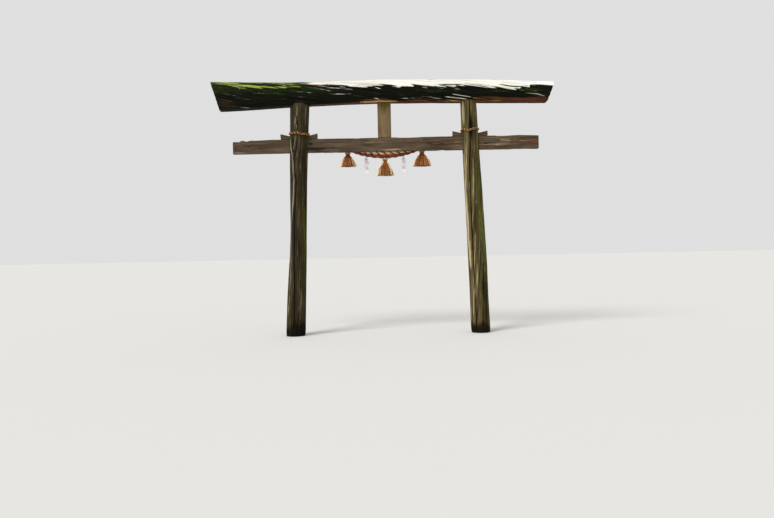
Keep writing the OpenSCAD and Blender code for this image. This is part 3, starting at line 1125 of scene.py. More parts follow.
@dataclass
class Lintel:
    """The log across the top, hewn flat below, with a broken bleached layer over its rotting sides.

    Attributes:
        streaks: What runs along its grain, by X and direction: 90 is up and 180 faces the approach.
        finish: Its finish.
        post_tops: Diameters of the posts let into it.
        strut: Width and thickness of the strut let into it.
        strut_bite: Depth that the strut is let in.
        butt_x: Its left end at the top.
        tip_x: Its right end at the top.
        undersides: Heights of its underside at its ends, over the posts and over the strut.
        heights: Its own heights there.
        hewn: Depth hewn off below.
        fullness: Its width over its height.
        uneven: How far its growth takes it in, as a share of its radius.
        rakes: Degrees that its left and right ends are cut back.
        butt_turn: Degrees that the cut at its left end is turned towards the approach.
        layer: Thickness of the bleached layer.
        front_edge: How far round the front the layer reaches, in degrees from the top, by X.
        back_edge: How far round the back it reaches.
        stain_edge: How far from the top its reddish lower part begins, in degrees, by X.
        sides: Faces round it.
        rings: Faces along it.
        grain_turn: Degrees that its grain turns in a metre.
        seed: Which random relief it has.
        relief: Heights of its lumps and fibres, and depth of its drying checks.
        scales: How many of each there are in a metre, across the grain and along it.
        cut_depth: How far along it the marks of its end cuts reach.
    """

    streaks: Sequence[Streak]
    finish: WoodFinish
    post_tops: tuple[float, float] = (0.338, 0.282)
    strut: tuple[float, float] = (0.235, 0.080)
    strut_bite: float = 0.006
    butt_x: float = -1.400
    tip_x: float = 4.580
    undersides: tuple[float, ...] = (3.945, 3.998, 4.030, 4.010, 3.985)
    heights: tuple[float, ...] = (0.500, 0.414, 0.402, 0.400, 0.367)
    hewn: float = 0.028
    fullness: float = 1.06
    uneven: float = 0.03
    rakes: tuple[float, float] = (17.0, 20.0)
    butt_turn: float = 9.0
    layer: float = 0.013
    front_edge: tuple[tuple[float, float], ...] = (
        (-1.40, 40), (-1.13, 49), (-0.93, 63), (-0.71, 65), (-0.50, 64), (-0.29, 67), (-0.09, 67), (0.12, 66),
        (0.25, 54), (0.57, 52), (0.72, 54), (0.91, 61), (1.02, 68), (1.14, 71), (1.24, 77), (1.33, 75),
        (1.41, 67), (1.56, 67), (1.73, 67), (1.77, 73), (1.89, 81), (1.96, 75), (2.08, 73), (2.18, 70),
        (2.35, 75), (2.53, 74), (2.68, 79), (2.84, 83), (2.88, 68), (3.13, 67), (3.27, 76), (3.31, 77),
        (3.44, 85), (3.54, 85), (3.68, 81), (3.76, 85), (3.82, 88), (3.99, 83), (4.03, 71), (4.16, 76),
        (4.18, 60), (4.35, 60), (4.58, 64))
    back_edge: tuple[tuple[float, float], ...] = (
        (-1.40, 42), (-0.60, 58), (0.30, 52), (1.10, 74), (2.20, 66), (2.90, 84), (3.60, 58), (4.58, 70))
    stain_edge: tuple[tuple[float, float], ...] = (
        (0.10, 200), (0.35, 152), (1.20, 150), (1.60, 150), (1.90, 148), (2.30, 144), (2.60, 144), (2.90, 138),
        (3.15, 132), (3.47, 122), (4.45, 123))
    sides: int = 256
    rings: int = 370
    grain_turn: float = 42.0
    seed: int = 41
    relief: tuple[float, float, float] = (0.014, 0.011, 0.008)
    scales: tuple[tuple[float, float], ...] = ((7, 1.2), (34, 1.5), (30, 0.8))
    cut_depth: float = 0.03

    def profile(self, x: Array) -> tuple[Array, Array, Array]:
        """Works out how high and how thick the log is.

        Args:
            x: Places along it.

        Returns:
            The height of its underside, its own height and its radius at each.
        """
        marks = (self.butt_x, SEAT_LEAN, MIDDLE_X, POST_SPACING - SEAT_LEAN, self.tip_x)
        share = np.interp(x, marks, (0, 0.25, 0.5, 0.75, 1))
        height = through(self.heights, share)
        return through(self.undersides, share), height, (height + self.hewn) / 2

    def grain(self, x: Array, angle: Array, distance: Array) -> Array:
        """Returns places in the log as the grain has them: it turns along the log."""
        return polar(np.radians(angle - self.grain_turn * x), distance, x)

    def surface(self, x: Array, angle: Array) -> tuple[Array, dict[str, Array]]:
        """Works out the log's surface.

        Args:
            x: Place along it.
            angle: Direction from its middle, in degrees.

        Returns:
            The distance from its middle and the tones at each place.
        """
        radius = self.profile(x)[2]
        grain = self.grain(x, angle, radius)
        lump, fibre, check = log_relief(grain, self.seed, self.scales)
        tones = read_streaks(self.streaks, x, angle, radius * math.pi / 180)

        # The bleached layer reaches from the top down to an edge of slivers, and below it the log is bare
        round_front = (angle - 90 + 180) % 360 - 180
        edge = np.where(round_front > 0, *(np.interp(x, *np.array(line).T)
                                           for line in (self.front_edge, self.back_edge)))
        down = np.abs(round_front)
        sliver = rough_noise(grain * (62, 62, 3.4), self.seed + 6, 2) - 0.5
        below = down - edge - 14 * fibre - 32 * sliver
        cover = smoothstep(below, 2, -2)
        bare = 1 - cover
        # Towards the right the layer is painted paler, partly its own bleaching and partly painted sunlight,
        # and moss gives way
        sunlit = smoothstep(x + 0.5 * lump, -0.2, 0.8)
        lip = cover * smoothstep(below, -6, -2) * smoothstep(x, -0.6, -1.0)
        lift = tones["lift"] - self.layer * bare * (0.5 + 0.5 * sunlit) * smoothstep(down, 165, 110)
        lump_h, fibre_h, check_h = self.relief
        lift += lump_h * lump + fibre_h * fibre - check_h * check - 0.003

        # The bare side is painted dark above, partly its own rot and partly painted shade of a side turned from
        # the light and of its cracks, darkest just under the layer's edge; it is reddish below, and moss grows
        # near the butt
        lower = smoothstep(down + 30 * fibre - np.interp(x, *np.array(self.stain_edge).T), -4, 8)
        shaded = bare * smoothstep(down + 20 * fibre, 90, 76) * smoothstep(x, 0.8, 0.3)
        glow = smoothstep(tones["pale"], 0.05, 0.4)
        tones["pale"] += cover * (0.1 + 1.1 * sunlit) + 0.5 * lip
        tones["dark"] += 0.3 * check + bare * (0.55 * glow + (1 - glow) * (
            0.62 + 0.25 * smoothstep(below, 30, 0) - 0.25 * shaded - 0.5 * lower))
        grown = 0.62 * shaded + 0.5 * bare * smoothstep(down, 130, 90) * smoothstep(lump, -0.15, 0.1)
        tones["moss"] = bare * np.clip(tones["moss"] + grown, 0, 0.7)
        # Moss on the layer's top gets amounts that the finish paints bright green, partly thick moss and partly
        # painted light; the moss on the side under the edge stays dark green as painted shade
        topped = 1.15 - 0.8 * smoothstep(-fibre, 0.0, 0.12) + lump - 0.4 * smoothstep(x, -1.1, -1.35)
        tones["moss"] += cover * (1 - sunlit) * topped - 0.7 * lip
        tones["stain"] += 0.8 * lower * (1 + 1.2 * lump) + cover * (
            0.4 * smoothstep(x, -0.4, 0.1) * smoothstep(x, 1.2, 0.3) + 0.5 * (1 - sunlit) * lip)
        return radius * (1 - self.uneven * growth_loss(angle - 90, x + 0.9)) + lift, tones

    def build(self) -> None:
        """Makes the lintel."""
        skin = tube_skin("lintel_log", self.sides, self.rings, cap_rings=10)
        x = self.butt_x + (self.tip_x - self.butt_x) * skin.along
        low, height, radius = self.profile(x)
        distance = self.surface(x, skin.angle)[0]
        turn = np.radians(skin.angle)

        # The underside is hewn flat, and wears a little
        worn = 0.006 * rough_noise(np.column_stack([x * 9, np.cos(turn) * 4, skin.reach * 3]), self.seed + 3)
        outer = np.maximum(low + worn, low + height - radius + distance * np.sin(turn))
        middle = low + height - radius
        z = middle + (outer - middle) * skin.reach
        y = distance * self.fullness * np.cos(turn) * skin.reach

        # The end cuts are ragged and split from their middles outward
        radial = rough_noise(np.column_stack([np.cos(turn) * 5, np.sin(turn) * 5, skin.along * 9]),
                             self.seed + 4, 4)
        split = smoothstep(radial, 0.46, 0.36) * smoothstep(skin.reach, 0.05, 0.5)
        ragged = 0.016 * split + 0.010 * rough_noise(np.column_stack([y * 14, z * 14, x]), self.seed + 5)
        inward = np.where(skin.along < AT_END, ragged, 0) - np.where(skin.along > 1 - AT_END, ragged, 0)
        obj = skin.place(np.column_stack([x + self.cut_back(x, y, z) + inward, y, z]))
        self.join(obj)
        self.dress(obj)
        settle(obj, self.finish.build(), "lintel", crease=50)

    def cut_back(self, x: Array, y: Array, z: Array) -> Array:
        """Works out how far the slants of its end cuts move what is at a place.

        Args:
            x: Places along it.
            y: Places across it.
            z: Heights.

        Returns:
            The move along X at each.
        """
        low, height, _ = self.profile(x)
        share = (x - self.butt_x) / (self.tip_x - self.butt_x)
        left, right = (math.tan(math.radians(rake)) for rake in self.rakes)
        turned = (1 - share) * math.tan(math.radians(self.butt_turn)) * np.maximum(-y, 0)
        return (left - (left + right) * share) * (low + height - z) + turned

    def dress(self, obj: bpy.types.Object) -> None:
        """Keeps the tones on the mesh as the joints have left it.

        Args:
            obj: The lintel.
        """
        moved, y, z = positions(obj).T
        x = moved
        for _ in range(4):
            x = np.clip(moved - self.cut_back(x, y, z), self.butt_x, self.tip_x)
        low, height, radius = self.profile(x)
        up, across = z - (low + height - radius), y / self.fullness
        angle = np.degrees(np.arctan2(up, across)) % 360
        distance, tones = self.surface(x, angle)
        away = np.hypot(up, across)
        at_end = np.minimum(x - self.butt_x, self.tip_x - x) < self.cut_depth
        inner = np.where(at_end, smoothstep(away / distance, 0.97, 0.88), 0)
        for tone, amount in zip(TONES[1:], (0.25, 0.3, 0.1, 0.35)):
            tones[tone] = tones[tone] * (1 - inner) + amount * inner
        keep_tones(obj, self.grain(x, angle, away), tones, 0)

    def join(self, obj: bpy.types.Object) -> None:
        """Cuts the seats of the posts and the strut, and their tenons' sockets.

        Args:
            obj: The lintel.
        """
        below, socket_top = SEAT_H - SEAT_REACH, SEAT_H + TENON_H + JOINT_GAP
        for side, diameter in zip(Side, self.post_tops):
            seat_x, radius = side.axis_x(SEAT_H), diameter / 2 + HOUSING_GAP
            bm = bmesh.new()
            bmesh.ops.create_cone(bm, cap_ends=True, segments=96, radius1=radius, radius2=radius,
                                  depth=2 * SEAT_REACH,
                                  matrix=Matrix.Translation((seat_x, 0, below)))
            carve(obj, bm)
            carve(obj, block(*upright(seat_x, TENON_W, TENON_W, below, socket_top, JOINT_GAP)))
        top = SEAT_H + self.strut_bite
        for (width, thickness), height in ((self.strut, top),
                                           (STRUT_TENON[:2], top + STRUT_TENON[2] + JOINT_GAP)):
            carve(obj, block(*upright(MIDDLE_X, width, thickness, below, height, JOINT_GAP)))


# Sawn timbers

def along_axis(edge: bmesh.types.BMEdge, axis: int, over: float = 0.0) -> bool:
    """Says whether an edge runs along an axis and is longer than a length."""
    way = edge.verts[1].co - edge.verts[0].co
    return abs(way[axis]) > max(over, 0.99 * way.length)


@dataclass
class Timber:
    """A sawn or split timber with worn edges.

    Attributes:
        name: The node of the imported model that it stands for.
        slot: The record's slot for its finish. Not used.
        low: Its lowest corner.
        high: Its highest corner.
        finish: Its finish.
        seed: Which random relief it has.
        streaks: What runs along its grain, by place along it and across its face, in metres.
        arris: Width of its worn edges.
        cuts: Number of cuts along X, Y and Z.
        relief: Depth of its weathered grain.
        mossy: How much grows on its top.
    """

    name: str
    slot: str
    low: Sequence[float]
    high: Sequence[float]
    finish: WoodFinish
    seed: int
    streaks: Sequence[Streak] = ()
    arris: float = 0.008
    cuts: tuple[int, int, int] = (40, 8, 16)
    relief: float = 0.003
    mossy: float = 0.3

    @property
    def lies(self) -> bool:
        """Whether its grain runs along X. It runs along Z if not."""
        return self.cuts[0] > self.cuts[2]

    def top(self, x: Array) -> Array:
        """Returns the height of its worn top over its underside."""
        return np.full(len(x), self.high[2] - self.low[2])

    def build(self) -> None:
        """Makes the timber."""
        bm = chamfered(self.low, self.high, self.arris)
        for axis, cuts in enumerate(self.cuts):
            edges = [edge for edge in bm.edges if along_axis(edge, axis, 1.5 * self.arris)]
            bmesh.ops.subdivide_edges(bm, edges=edges, cuts=cuts, use_grid_fill=True)
        bmesh.ops.recalc_face_normals(bm, faces=bm.faces)
        obj = as_object(bm, f"weathered_{self.name}")
        points, away = positions(obj), vectors(obj.data.vertices, "normal")
        height = self.high[2] - self.low[2]
        points[:, 2] = self.low[2] + (points[:, 2] - self.low[2]) * self.top(points[:, 0]) / height
        grain, tones, fibre, check = self.weathering(points)
        lump = rough_noise(grain * (12, 12, 4), self.seed + 2) - 0.5
        low, high = np.array(self.low), np.array(self.high)
        outline = np.min(np.minimum(points - low, high - points)[:, 1:], axis=1)
        edge = smoothstep(outline, 0.018, 0.002) if self.lies else 0
        lift = tones["lift"] + self.relief * (1.6 * fibre + 1.2 * lump - check - 0.5)
        lift -= edge * 0.010 * smoothstep(lump, 0.02, 0.2)
        obj.data.vertices.foreach_set("co", (points + away * lift[:, None]).astype(np.float32).ravel())
        self.join(obj)
        self.dress(obj)
        settle(obj, self.finish.build(), self.name, crease=45)

    def grain(self, points: Array) -> Array:
        """Says where places in the timber are as the grain has them.

        Args:
            points: Places in the frame.

        Returns:
            Two distances across the grain and one along it for each.
        """
        middle = (np.array(self.low) + self.high) / 2
        order = [1, 2, 0] if self.lies else [0, 1, 2]
        pith = np.array([0.09, 0.05, 0.0])
        return (points - middle * (1, 1, 0))[:, order] + pith

    def weathering(self, points: Array) -> tuple[Array, dict[str, Array], Array, Array]:
        """Works out how the timber has weathered.

        Args:
            points: Places in it.

        Returns:
            At each place, where the grain has it, the tones, the fibres and the checks.
        """
        grain = self.grain(points)
        along, across = (points[:, axis] for axis in ((0, 2) if self.lies else (2, 0)))
        fibre = rough_noise(grain * (60, 60, 1.6), self.seed, 4) - 0.5
        check = smoothstep(rough_noise(grain * (45, 45, 0.9), self.seed + 1, 2), 0.33, 0.25)
        return grain, read_streaks(self.streaks, along, across, 1.0), fibre, check

    def join(self, obj: bpy.types.Object) -> None:
        """Cuts or adds its joints, if it has any."""

    def dress(self, obj: bpy.types.Object) -> None:
        """Keeps the tones on the finished mesh.

        Args:
            obj: The timber.
        """
        grain, tones, fibre, check = self.weathering(positions(obj))
        # Checks and the hollows between fibres are darkened as painted shade; tops are darker and mossy, and
        # raised fibres paler
        upward = smoothstep(vectors(obj.data.vertices, "normal")[:, 2], 0.3, 0.9)
        tones["dark"] += 0.35 * check + 0.3 * smoothstep(-fibre, 0.08, 0.26) + 0.25 * upward
        tones["pale"] += 0.15 * smoothstep(fibre, 0.04, 0.22)
        tones["moss"] += self.mossy * upward
        keep_tones(obj, grain, tones, 0 if self.lies else 2)


@dataclass
class TieBeam(Timber):
    """The beam through both posts, worn down towards its ends but for a lump near the left one.

    Attributes:
        left_h: Its height at its left end.
        right_h: Its height at its right end.
        lump_h: Height of the lump.
    """

    left_h: float = 0.212
    right_h: float = 0.228
    lump_h: float = 0.022

    def top(self, x: Array) -> Array:
        """Works out the height of its worn top over its underside.

        Args:
            x: Places along it.

        Returns:
            The height at each.
        """
        full = self.high[2] - self.low[2]
        span = (self.high[0] - self.low[0]) / 16
        marks = [self.low[0] + span * share for share in (0, 0.35, 0.45, 0.6, 0.7, 1)]
        lump = self.left_h + self.lump_h
        heights = [self.left_h, self.left_h, lump, lump, self.left_h + 0.004, full, full, self.right_h]
        return np.interp(x, [*marks, self.high[0] - span, self.high[0]], heights)

    def join(self, obj: bpy.types.Object) -> None:
        """Cuts the mortise for the strut's tenon.

        Args:
            obj: The beam.
        """
        width, thickness, length = STRUT_TENON
        carve(obj, block(*upright(MIDDLE_X, width, thickness, self.high[2] - length - JOINT_GAP,
                                  self.high[2] + 0.05, JOINT_GAP)))


@dataclass
class Strut(Timber):
    """The strut between beam and lintel, with a tenon at each end."""

    def join(self, obj: bpy.types.Object) -> None:
        """Adds the tenons.

        Args:
            obj: The strut.
        """
        width, thickness, length = STRUT_TENON
        for low, high in ((self.low[2] - length, self.low[2] + TENON_ROOT),
                          (self.high[2] - TENON_ROOT, self.high[2] + length)):
            carve(obj, chamfered(*upright(MIDDLE_X, width, thickness, low, high), 0.002), "UNION")


@dataclass
class Wedge(Timber):
    """A wedge on the beam, driven into a post, with its thin end at the post's axis.

    Attributes:
        axis_x: The post's axis at the top of the beam.
    """

    axis_x: float = 0.0

    def top(self, x: Array) -> Array:
        """Returns the height of its slanting top over its underside."""
        return WEDGE_TIP_H + WEDGE_SLOPE * np.abs(x - self.axis_x)


# Straw

def unit(steps: Array) -> Array:
    """Returns each row with a length of one."""
    return steps / np.linalg.norm(steps, axis=1, keepdims=True)


def distances(line: Array) -> Array:
    """Returns how far along a line each of its points is."""
    return np.concatenate([[0], np.cumsum(np.linalg.norm(np.diff(line, axis=0), axis=1))])


def turned_to(turn: Array, side: Array, up: Array) -> Array:
    """Returns directions across a line, turned from its side towards its up by each angle."""
    return np.cos(turn)[:, None] * side + np.sin(turn)[:, None] * up


def sweep(name: str, line: Array, core: Array, radius: Array, sides: int, seed: int, twist: float = 0.0,
          relief: float = 0.0) -> bpy.types.Object:
    """Sweeps a straw strand along a line.

    Args:
        name: The object's name.
        line: The points that its middle follows, evenly spaced.
        core: The middle of the rope that it is part of, at each of them.
        radius: Its radius at each of them.
        sides: Faces round it.
        seed: Which relief it has.
        twist: Turns of its own fibres for each metre.
        relief: Depth of the grooves between its fibres, as a share of the radius.

    Returns:
        The strand, with its grain and its painted highlight and painted shade kept.
    """
    skin = tube_skin(name, sides, len(line) - 1, cap_rings=2)
    lengths = distances(line)

    # One side is carried along the line without turning about it
    forward = unit(np.gradient(line, axis=0))
    side = np.zeros_like(forward)
    side[0] = np.cross(forward[0], (0.1, 0.9, 0.4))
    for i in range(len(line)):
        carried = side[max(i - 1, 0)]
        carried = carried - forward[i] * (carried @ forward[i])
        side[i] = carried / np.linalg.norm(carried)
    up = np.cross(forward, side)

    # The fibres turn round the strand as it goes
    index = np.rint(skin.along * (len(line) - 1)).astype(int)
    turn = np.radians(skin.angle)
    here = lengths[index]
    own = turn + 2 * math.pi * twist * here
    thick = radius[index]
    grain = polar(own, thick, here + seed)
    groove = rough_noise(grain * (260, 260, 9), seed, 2) - 0.5
    reach = thick * skin.reach * (1 + 2 * relief * groove)
    points = line[index] + reach[:, None] * turned_to(turn, side[index], up[index])
    obj = skin.place(points)

    # Painted highlight on the crests of the rope's upper side, and painted shade in its grooves
    out = np.linalg.norm(points - core[index], axis=1) - np.linalg.norm(line - core, axis=1)[index]
    crest = out / thick
    above = (points - core[index])[:, 2] / thick
    sunned = smoothstep(above, -0.5, 0.4) * smoothstep(crest, 0.55, 0.9)
    paint(obj, "grain", grain)
    paint(obj, "bright", groove * 0.9 + 1.5 * sunned - 0.5 - 0.6 * smoothstep(crest, 0.7, 0.2))
    return obj


def twisted(name: str, line: Array, diameter: Array, strands: int, pitch: Array, sides: int,
            seed: int, start: float = 0.0) -> bpy.types.Object:
    """Twists strands round a line into a rope.

    Args:
        name: The object's name.
        line: The points that the rope's middle follows, evenly spaced.
        diameter: The rope's diameter at each of them.
        strands: How many strands.
        pitch: Length of one turn of a strand at each point.
        sides: Faces round a strand.
        seed: Which relief the strands have.
        start: Direction of the first strand at the start, in radians.

    Returns:
        The rope.
    """
    gaps = np.linalg.norm(np.diff(line, axis=0), axis=1)
    phase = start + np.concatenate([[0], np.cumsum(gaps * 2 * math.pi / ((pitch[1:] + pitch[:-1]) / 2))])
    forward = unit(np.gradient(line, axis=0))
    side = unit(np.cross((0, 0, 1), forward))
    up = np.cross(forward, side)
    share = {2: 0.5, 3: 0.535}[strands]
    parts = []
    for strand in range(strands):
        turn = phase + 2 * math.pi * strand / strands
        middle = line + (diameter / 2 * (1 - share))[:, None] * turned_to(turn, side, up)
        parts.append(sweep(f"{name}_{strand}", middle, line, diameter / 2 * share, sides, seed + strand,
                           twist=1.5, relief=0.10))
    return joined(name, parts)


def straws(name: str, paths: Sequence[Array], thickness: float, tips: float) -> bpy.types.Object:
    """Makes loose straws as thin tubes.

    Args:
        name: The object's name.
        paths: The points that each straw follows, as many for each.
        thickness: Their diameter.
        tips: How bright their far ends are.

    Returns:
        The straws as one mesh, with their grain kept.
    """
    curve = bpy.data.curves.new(name, "CURVE")
    curve.dimensions = "3D"
    curve.bevel_depth = thickness / 2
    curve.bevel_resolution = 0
    curve.use_fill_caps = True
    for path in paths:
        spline = curve.splines.new("POLY")
        spline.points.add(len(path) - 1)
        spline.points.foreach_set("co", np.column_stack([path, np.ones(len(path))]).ravel())
    holder = placed(name, curve)
    mesh = as_built(holder)
    bpy.data.objects.remove(holder)
    obj = placed(name, mesh)
    count, rings, sides = len(paths), len(paths[0]), 4
    number = np.concatenate([np.repeat(np.arange(count)[::-1], 2 * sides),
                             np.repeat(np.arange(count), sides * rings)])
    share = np.concatenate([np.tile([1.0] * sides + [0.0] * sides, count),
                            np.tile(np.repeat(np.linspace(0, 1, rings), sides), count)])
    grain = np.column_stack([number * 0.37, number * 0.11, share * 0.2])
    paint(obj, "grain", grain)
    colour = cell_value(np.column_stack([number, number * 0, number * 0]).astype(np.int64), 5)
    # Each straw's own tone and paler tips, and one straw in several painted pale as a rim highlight
    paint(obj, "bright", (colour - 0.5) * 0.35 + tips * smoothstep(share, 0.75, 1.0)
          + 1.5 * (number % RIM_HIGHLIGHT_STRAWS == 0))
    bm = bmesh.new()
    bm.from_mesh(mesh)
    bmesh.ops.remove_doubles(bm, verts=bm.verts, dist=WELD / 10)
    bm.to_mesh(mesh)
    bm.free()
    return obj


@dataclass
class StrawRope:
    """The thick straw rope that hangs behind the beam, thin where it meets the posts' turns.

    Attributes:
        middle_d: Its diameter at its middle.
        end_d: Its diameter at its ends.
        taper_reach: Distance from the middle at which it has thinned.
        route: Its route as listed points: x from the gate's middle, y and z.
        declared_d: The diameter that it has along most of what shows. Not used.
        pitch: Length of one turn of a strand at its middle.
        rings: Points along it.
        path_points: Points on its path. Not used.
    """

    middle_d: float = 0.136
    end_d: float = 0.024
    taper_reach: float = 1.0
    declared_d: float = 0.12
    pitch: float = 0.375
    rings: int = 560
    path_points: int = 160
    route: tuple[tuple[float, float, float], ...] = (
        (-1.3418, 0.137, 3.498), (-1.2863, 0.127, 3.475), (-1.2083, 0.118, 3.443), (-1.1401, 0.113, 3.417),
        (-1.0719, 0.110, 3.391), (-0.9988, 0.107, 3.364), (-0.9257, 0.104, 3.338), (-0.8527, 0.102, 3.312),
        (-0.7796, 0.101, 3.286), (-0.7065, 0.100, 3.261), (-0.6334, 0.100, 3.238), (-0.5701, 0.102, 3.219),
        (-0.5067, 0.104, 3.202), (-0.4434, 0.107, 3.187), (-0.3800, 0.110, 3.174), (-0.3118, 0.113, 3.164),
        (-0.2436, 0.116, 3.156), (-0.1803, 0.118, 3.150), (-0.1169, 0.119, 3.146), (-0.0585, 0.120, 3.144),
        (0.0000, 0.120, 3.143), (0.0588, 0.120, 3.144), (0.1176, 0.119, 3.146), (0.1814, 0.118, 3.151),
        (0.2451, 0.116, 3.157), (0.3137, 0.113, 3.166), (0.3823, 0.110, 3.177), (0.4461, 0.107, 3.190),
        (0.5098, 0.104, 3.206), (0.5735, 0.102, 3.224), (0.6372, 0.100, 3.244), (0.7108, 0.100, 3.268),
        (0.7843, 0.101, 3.294), (0.8578, 0.102, 3.321), (0.9313, 0.104, 3.348), (1.0049, 0.107, 3.375),
        (1.0784, 0.110, 3.403), (1.1470, 0.113, 3.429), (1.2156, 0.116, 3.456), (1.2941, 0.121, 3.486),
        (1.3597, 0.127, 3.512))

    def line(self, count: int) -> Array:
        """Follows the rope's middle.

        Args:
            count: How many points.

        Returns:
            The points, evenly spaced, in the frame.
        """
        fine = through(self.route, np.linspace(0, 1, 2000)) + (MIDDLE_X, 0, 0)
        lengths = distances(fine)
        marks = np.linspace(0, lengths[-1], count)
        return np.column_stack([np.interp(marks, lengths, fine[:, axis]) for axis in range(3)])

    def diameter(self, x: Array) -> Array:
        """Returns the rope's diameter at x in the frame."""
        apart = np.minimum(np.abs(x - MIDDLE_X) / self.taper_reach, 1)
        return self.end_d + (self.middle_d - self.end_d) * (1 + np.cos(math.pi * apart)) / 2

    def build(self) -> None:
        line = self.line(self.rings + 1)
        diameter = self.diameter(line[:, 0])
        pitch = self.pitch * (0.35 + 0.65 * diameter / self.middle_d)
        rope = twisted("twisted_straw_rope", line, diameter * 0.985, 3, pitch, 26, seed=11, start=0.6)
        settle(rope, ROPE_STRAW.build(), "straw_rope", crease=60)


@dataclass
class RopeWrap:
    """Turns of thin straw rope round a post, square to the leaning post.

    Attributes:
        side: Which post it is on.
        marks: Heights of the turns over their middle by direction, where 270 faces the approach.
        rope_d: The rope's diameter.
        packed_d: The rope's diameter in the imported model, whose inside it shares.
        turns: How many turns.
        rings: Points along the rope.
        pitch: Length of one turn of a strand.
    """

    side: Side
    marks: tuple[tuple[float, float], ...]
    rope_d: float = 0.019
    packed_d: float = 0.024
    turns: int = 2
    rings: int = 420
    pitch: float = 0.110

    def build(self) -> None:
        """Makes the turns."""
        node = f"{self.side.name.lower()}_rope_wrap"
        low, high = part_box(node)
        radius = (high.y - low.y + self.rope_d) / 2 - self.packed_d
        turned = np.linspace(0.06, self.turns - 0.06, self.rings)
        angle = np.radians(90 + 360 * turned)
        climb = self.rope_d * (smoothstep(turned, 0.85, 1.15) - 0.5)
        directions, lifts = np.array(self.marks).T
        climb += np.interp(np.degrees(angle) % 360, directions, lifts, period=360)
        lean = self.side.value * LEAN
        out = np.array([math.cos(lean), 0, -math.sin(lean)])
        up = np.array([math.sin(lean), 0, math.cos(lean)])
        middle = np.array((low + high) / 2)
        line = middle + radius * turned_to(angle, out, (0, 1, 0)) + climb[:, None] * up
        ends = smoothstep(np.minimum(turned, self.turns - turned), 0.05, 0.12)
        diameter = self.rope_d * (0.5 + 0.5 * ends)
        wrap = twisted(f"twisted_{node}", line, diameter, 2, np.full(self.rings, self.pitch), 12,
                       seed=60 + self.side.value)
        settle(wrap, WRAP_STRAW.build(), node, crease=60)


